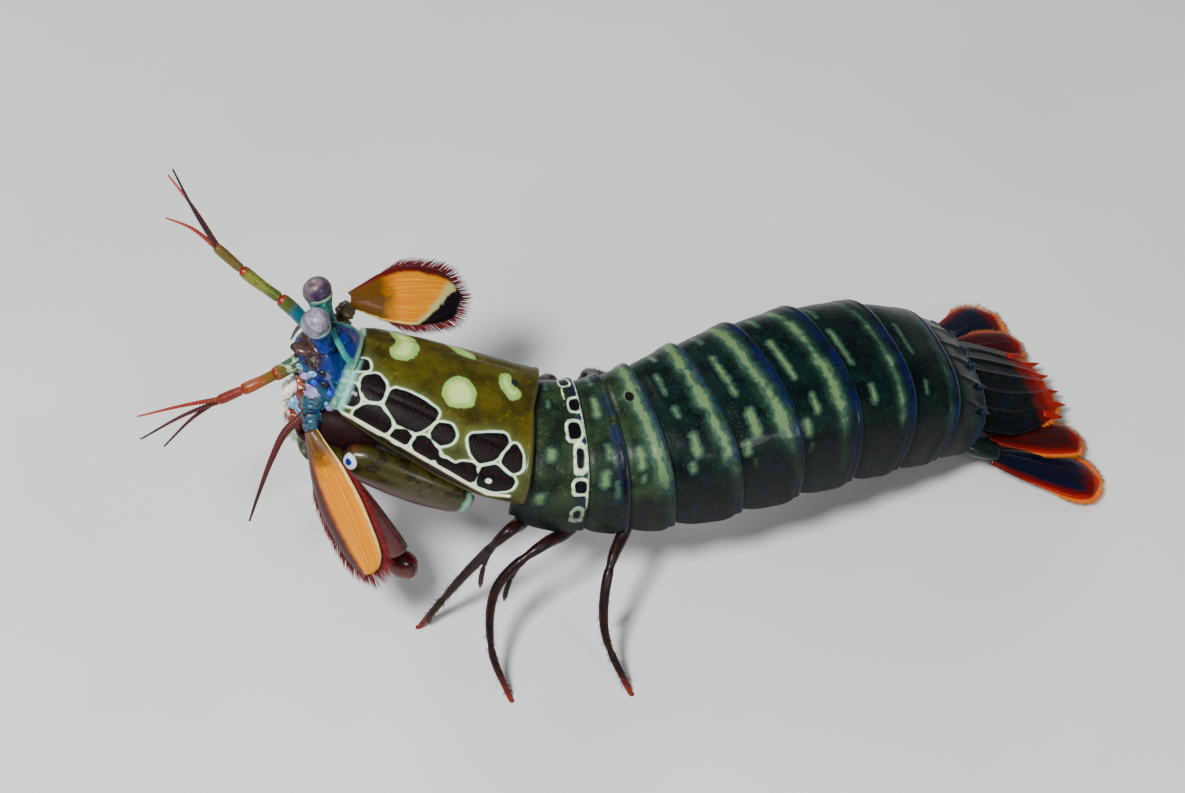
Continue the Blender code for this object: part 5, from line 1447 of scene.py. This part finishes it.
LEGS = {
    "leg_1_left": ((32.5, -8.6, -3.6), ((-9.0, -13.0, 22.6), (-15.9, -14.6, 14.0), (-24.9, -16.0, -0.6))),
    "leg_2_left": ((39.2, -8.8, -3.8), ((-4.0, -14.5, 20.6), (-11.6, -19.5, 15.8), (-12.6, -25.0, 8.0),
                                        (-9.4, -30.0, -0.6))),
    "leg_3_left": ((45.2, -9.0, -4.0), ((6.4, -14.5, 17.0), (5.0, -22.4, 9.6), (9.4, -28.8, -0.6))),
    "leg_1_right": ((32.5, 8.6, -3.6), ((-11.5, 14.0, 21.5), (-18.0, 17.5, 12.0), (-22.5, 20.0, -0.6))),
    "leg_2_right": ((39.2, 8.8, -3.8), ((-2.5, 17.0, 20.5), (-6.0, 25.5, 11.5), (-4.5, 31.0, -0.6))),
    "leg_3_right": ((45.2, 9.0, -4.0), ((2.0, 19.5, 18.5), (4.0, 29.0, 10.0), (10.5, 34.5, -0.6)))}
LEG_BRISTLES = 300
LEG_JOINTS = ((0, 1.5), (0.12, 1.2), (0.3, 0.85), (0.345, 0.66), (0.38, 0.82), (0.7, 0.62), (0.74, 0.5),
              (0.78, 0.62), (1, 0.42))


def leg_finish():
    paint = Finish("leg_shell_finish", coat=0.25, gloss=0.16)
    along = paint.marks("along")
    cloud = paint.grain(1.5, 4.0)
    colour = cloud.rise(0.35, 0.65).over((13, 4, 8), (34, 8, 10))
    colour = (paint.grain(0.5).rise(0.6, 0.7) * 0.3).over(colour, (60, 40, 30))
    colour = ((along + (cloud - 0.5) * 0.1).rise(0.84, 1.0) * 0.9).over(colour, (120, 36, 20))
    return paint.done(colour, 0.3 + paint.grain(0.4) * 0.2, paint.grain(0.35) + paint.grain(1.5) * 1.5, 0.05)


def leg(name, material, bristle, seed):
    """A walking leg: three joints, a slender branch from the knee and stiff bristles towards the foot."""
    hip, bends = LEGS[name]
    start, bends = place(*hip), np.array(bends) + SHIFT
    tailward, right, up = axes(hip[0])
    half, _, depth = columns(TRUNK, hip[0])
    share = (0.9 * half - abs(hip[1])) / abs(np.dot(bends[0] - start, right))
    below = start + (bends[0] - start) * share
    below = below - up * (np.dot(below - place(hip[0]), up) + depth + 1.3)
    points = route([start, below, *bends], 150)
    piece = Piece()
    piece.rod(points, LEG_JOINTS, 20)
    piece.ball(start + up * 0.3, (2.0, 2.0, 1.9), tailward, up, 20, 28, along=0.0)
    knee = points[50]
    outward = unit(points[52] - points[30] + np.array([0, 0, -3.0]))
    bent = (0, 0), (2.4, 0.4), (4.6, 2.4), (5.6, 5.2)
    steps = [outward * out - np.array([0, 0, fall]) for out, fall in bent]
    radii = ((0, 0.42), (0.45, 0.36), (0.5, 0.26), (0.55, 0.4), (0.85, 0.44), (1, 0.12))
    piece.rod(route(knee + steps, 40), radii, 14)
    piece.raise_to(0.0)
    piece.make(name + "_shell", material, "leg", name)
    rng = np.random.default_rng(seed)
    count = LEG_BRISTLES
    at = rng.uniform(0.42, 0.96, count)
    f = np.linspace(0, 1, len(points))
    middle = between(at, f, points)
    way = between(at, f, unit(np.gradient(points, axis=0)))
    aside = unit(np.cross(way, rng.normal(size=(count, 3))))
    lengths = np.minimum(0.5 + 0.8 * rng.random(count), np.maximum(middle[:, 2] - 0.5, 0.1))
    bristles(name + "_bristles", bristle, middle + aside * 0.4, unit(aside + way * 0.8), lengths, 0.045,
             way.mean(0) * 0.1, "leg", seed)


# Swimming paddles

PLEOPOD_OUTLINE = ((0, 1.6, 1.6), (0.2, 3.4, 3.0), (0.5, 4.8, 4.2), (0.8, 4.4, 3.9), (1, 2.6, 2.4))


def pleopods(skin, gill, bristle):
    """A fringed paddle under each side of five somites, with a bush of gill threads behind it."""
    for side_name, side in SIDES.items():
        for k, (_, start, end) in enumerate(SOMITES[3:8], 1):
            node = f"pleopod_{k}_{side_name}"
            s = start + 0.3 * (end - start)
            depth = smooth(TRUNK, 3, s)
            root, tip = place(s, side * 5.6, -depth * 0.3), place(s + 5.2, side * 6.6, -depth - 5.0)
            tailward, right, up = axes(s)
            points, f, v, way, top = blade_points(root, tip, -tailward, PLEOPOD_OUTLINE, 0.5, 0.6, (50, 25))
            points = points + top * 0.25
            piece = Piece()
            piece.plate(points, 0.5 * (1 - 0.4 * abs(v) ** 3), f=f, v=v)
            piece.make(node + "_paddle", skin, "pleopod", node)
            seed = 100 + 10 * k + side
            roots, ways, lengths = fringe(points, way, 0.35, 0.1, 1.5, 0.08, seed)
            bristles(node + "_fringe", bristle, roots, ways, lengths, 0.05, way * 0.1, "pleopod", seed)
            rng = np.random.default_rng(seed)
            draw = rng.uniform
            piece = Piece()
            for _ in range(14):
                base = root + (tip - root) * draw(0.1, 0.45) + right * draw(-2.2, 2.2) + tailward * 0.2
                bend = base + tailward * draw(0.8, 1.6) - up * draw(0.2, 0.8)
                last = bend + tailward * draw(0.2, 1.2) - up * draw(1.0, 2.2) + right * draw(-0.6, 0.6)
                piece.rod(route([base, bend, last], 14), np.linspace(0.24, 0.09, 14), 8)
            piece.make(node + "_gills", gill, "pleopod")


def paddle_finish():
    paint = Finish("paddle_skin_finish", roughness=0.4)
    f, v = paint.marks("f", "v")
    veins = paint.lines(f * 2.0, v * 12.0)
    colour = veins.rise(0.35, 0.65).over((30, 12, 40), (54, 24, 50))
    colour = (abs(v).rise(0.7, 0.95)).over(colour, (120, 40, 40))
    return paint.done(colour, 0.3 + veins * 0.25, veins, 0.05)


# Everything

def dress():
    carapace_shell()
    thorax = trunk_finish("thorax_shell_finish", THORAX, THORAX_DARK, (88, 108, 60))
    abdomen = trunk_finish("abdomen_shell_finish", ABDOMEN, ABDOMEN_DARK, (26, 66, 50))
    for name, start, end in SOMITES:
        trunk_plate(name, start, end, thorax if name.startswith("thorax") else abdomen)
    tail = plain_finish("tail_shell_finish", (3, 12, 12), (6, 24, 20), (20, 40, 40), 2.0, coat=0.2)
    scale = scale_finish()
    red_bristle = bristle_finish("red_bristle_finish", (70, 8, 12), (150, 24, 24), (40, 6, 16))
    orange_bristle = bristle_finish("orange_bristle_finish", (190, 34, 0), (250, 150, 20), (190, 60, 0))
    telson_plate(telson_finish(), orange_bristle)
    for side_name, side in SIDES.items():
        feeler_paddle(side_name, scale, red_bristle)
    outer = lobe_finish("fan_outer_finish", (3, 4, 14), (6, 10, 38), (84, 4, 2))
    inner = lobe_finish("fan_inner_finish", (34, 3, 4), (62, 4, 3), (92, 6, 2))
    for side_name, side in SIDES.items():
        tail_fan(side_name, side, tail, outer, inner, orange_bristle)
    arm, club = arm_finish(), club_finish()
    for side_name, side in SIDES.items():
        claw(side_name, side, arm, club)
    eyes(eye_finish())
    head_shell(head_finish())
    rostral_shell(rostral_finish())
    eyestalks(stalk_finish())
    near_joints = feeler_joint_finish("near_feeler_finish", ((36, 74, 44), (150, 170, 130), (104, 76, 16),
                                                             (130, 56, 10), (104, 24, 12)))
    far_joints = feeler_joint_finish("far_feeler_finish", ((12, 90, 110), (40, 130, 130), (70, 80, 20),
                                                           (104, 108, 34), (90, 70, 30)))
    dark_whip = whip_finish("dark_whip_finish", (60, 34, 24), (46, 16, 30), (40, 20, 40))
    red_whip = whip_finish("red_whip_finish", (110, 50, 16), (140, 26, 14), (160, 60, 36))
    deep_whip = whip_finish("deep_whip_finish", (84, 24, 14), (70, 8, 10), (44, 10, 18))
    antennules({"left": near_joints, "right": far_joints},
               {"left": (deep_whip, red_whip, deep_whip), "right": (dark_whip, red_whip, red_whip)})
    antennae({"left": antenna_finish("near_root_finish", (30, 70, 90), (20, 30, 60)),
              "right": antenna_finish("far_root_finish", (70, 54, 26), (40, 40, 24))}, deep_whip)
    brown_bristle = bristle_finish("brown_bristle_finish", (90, 60, 40), (170, 140, 100), (60, 30, 30))
    graspers = (grasper_finish("upper_grasper_finish", (40, 70, 110), (96, 160, 200), (226, 214, 180)),
                grasper_finish("middle_grasper_finish", (60, 20, 26), (110, 26, 22), (210, 190, 160)),
                grasper_finish("lower_grasper_finish", (40, 44, 30), (130, 160, 120), (190, 210, 170)))
    maxillipeds(graspers, brown_bristle)
    palp = feeler_joint_finish("jaw_feeler_finish", ((150, 80, 50), (214, 180, 150), (230, 222, 206),
                                                     (236, 226, 212), (224, 200, 170)))
    leaves = plain_finish("mouth_leaf_finish", (110, 50, 34), (70, 20, 22), (150, 120, 150), 1.2)
    face_scales(face_finish())
    mouth(palp, leaves)
    chest_skin(chest_finish())
    walking = leg_finish()
    dark_bristle = bristle_finish("dark_bristle_finish", (24, 8, 8), (96, 40, 22), (12, 4, 6))
    for k, name in enumerate(LEGS):
        leg(name, walking, dark_bristle, 200 + k)
    gill = plain_finish("gill_finish", (150, 90, 110), (190, 130, 130), (110, 60, 120), 1.0, coat=0.2,
                        rough=0.35)
    pleopods(paddle_finish(), gill, brown_bristle)


FLOOR_HALF = 1.2
# Lamps: name, place in metres, width and power
LAMPS = (("key_light", (-0.14, -0.22, 0.42), 0.09, 3.4), ("fill_light", (0.3, -0.42, 0.3), 0.16, 0.9),
         ("back_light", (-0.3, 0.34, 0.4), 0.2, 1.0))
# The photograph in pixels: its middle, its width, where the anchor of the body line lies, and its scale
PHOTO_MIDDLE, PHOTO_WIDTH, ANCHOR_SEEN, PIXELS_PER_MM = (592.5, 396.5), 1185, (572, 444), 6.4


def studio():
    """A pale floor, soft light from above and a cool sky."""
    floor = bpy.data.objects.new("studio_floor", bpy.data.meshes.new("studio_floor"))
    corners = [(x * FLOOR_HALF, y * FLOOR_HALF, 0) for x, y in ((-1, -1), (1, -1), (1, 1), (-1, 1))]
    floor.data.from_pydata(corners, [], [(0, 1, 2, 3)])
    paint = Finish("studio_floor_finish", roughness=0.7)
    paint.feed("Base Color", paint.grain(60.0).rise(0.3, 0.7).over((214, 214, 212), (222, 222, 220)))
    floor.data.materials.append(paint.material)
    bpy.context.scene.collection.objects.link(floor)
    world = bpy.data.worlds.new("studio_light")
    bpy.context.scene.world = world
    world.use_nodes = True
    sky = world.node_tree.nodes["Background"].inputs
    sky["Color"].default_value, sky["Strength"].default_value = (0.85, 0.9, 1.0, 1), 0.22
    centre = np.array([(cad_box[0][k] + cad_box[1][k]) / 2 for k in range(3)])
    for name, at, width, power in LAMPS:
        lamp = bpy.data.lights.new(name, "AREA")
        lamp.shape, lamp.size, lamp.energy = "DISK", width, power
        light = bpy.data.objects.new(name, lamp)
        bpy.context.scene.collection.objects.link(light)
        aim(light, np.array(at), unit(np.array(at) - centre), np.array([0, 0, 1.0]))


def aim(obj, at, back, up):
    """Stands a camera or light at a place, looking away from back."""
    right = unit(np.cross(up, back))
    top = np.cross(back, right)
    rows = [(right[k], top[k], back[k], at[k]) for k in range(3)]
    obj.matrix_world = Matrix(rows + [(0, 0, 0, 1)])


def camera():
    """Looks down at the animal's left side, as the photograph does."""
    elevation, angle = math.radians(50), math.radians(28)
    back = np.array([0, -math.cos(elevation), math.sin(elevation)])
    right = np.array([1.0, 0, 0])
    up = np.cross(back, right)
    aside, down = [(seen - middle) / PIXELS_PER_MM for seen, middle in zip(ANCHOR_SEEN, PHOTO_MIDDLE)]
    centre = np.array([0, 0, ANCHOR_HEIGHT]) + SHIFT - right * aside + up * down
    distance = PHOTO_WIDTH / PIXELS_PER_MM / 2 / math.tan(angle / 2)
    data = bpy.data.cameras.new("camera")
    data.sensor_width, data.clip_start = 36.0, 0.01
    data.lens = data.sensor_width / 2 / math.tan(angle / 2)
    obj = bpy.data.objects.new("camera", data)
    bpy.context.scene.collection.objects.link(obj)
    aim(obj, (centre + back * distance) * MM, back, up)
    bpy.context.scene.camera = obj


camera()
dress()
studio()
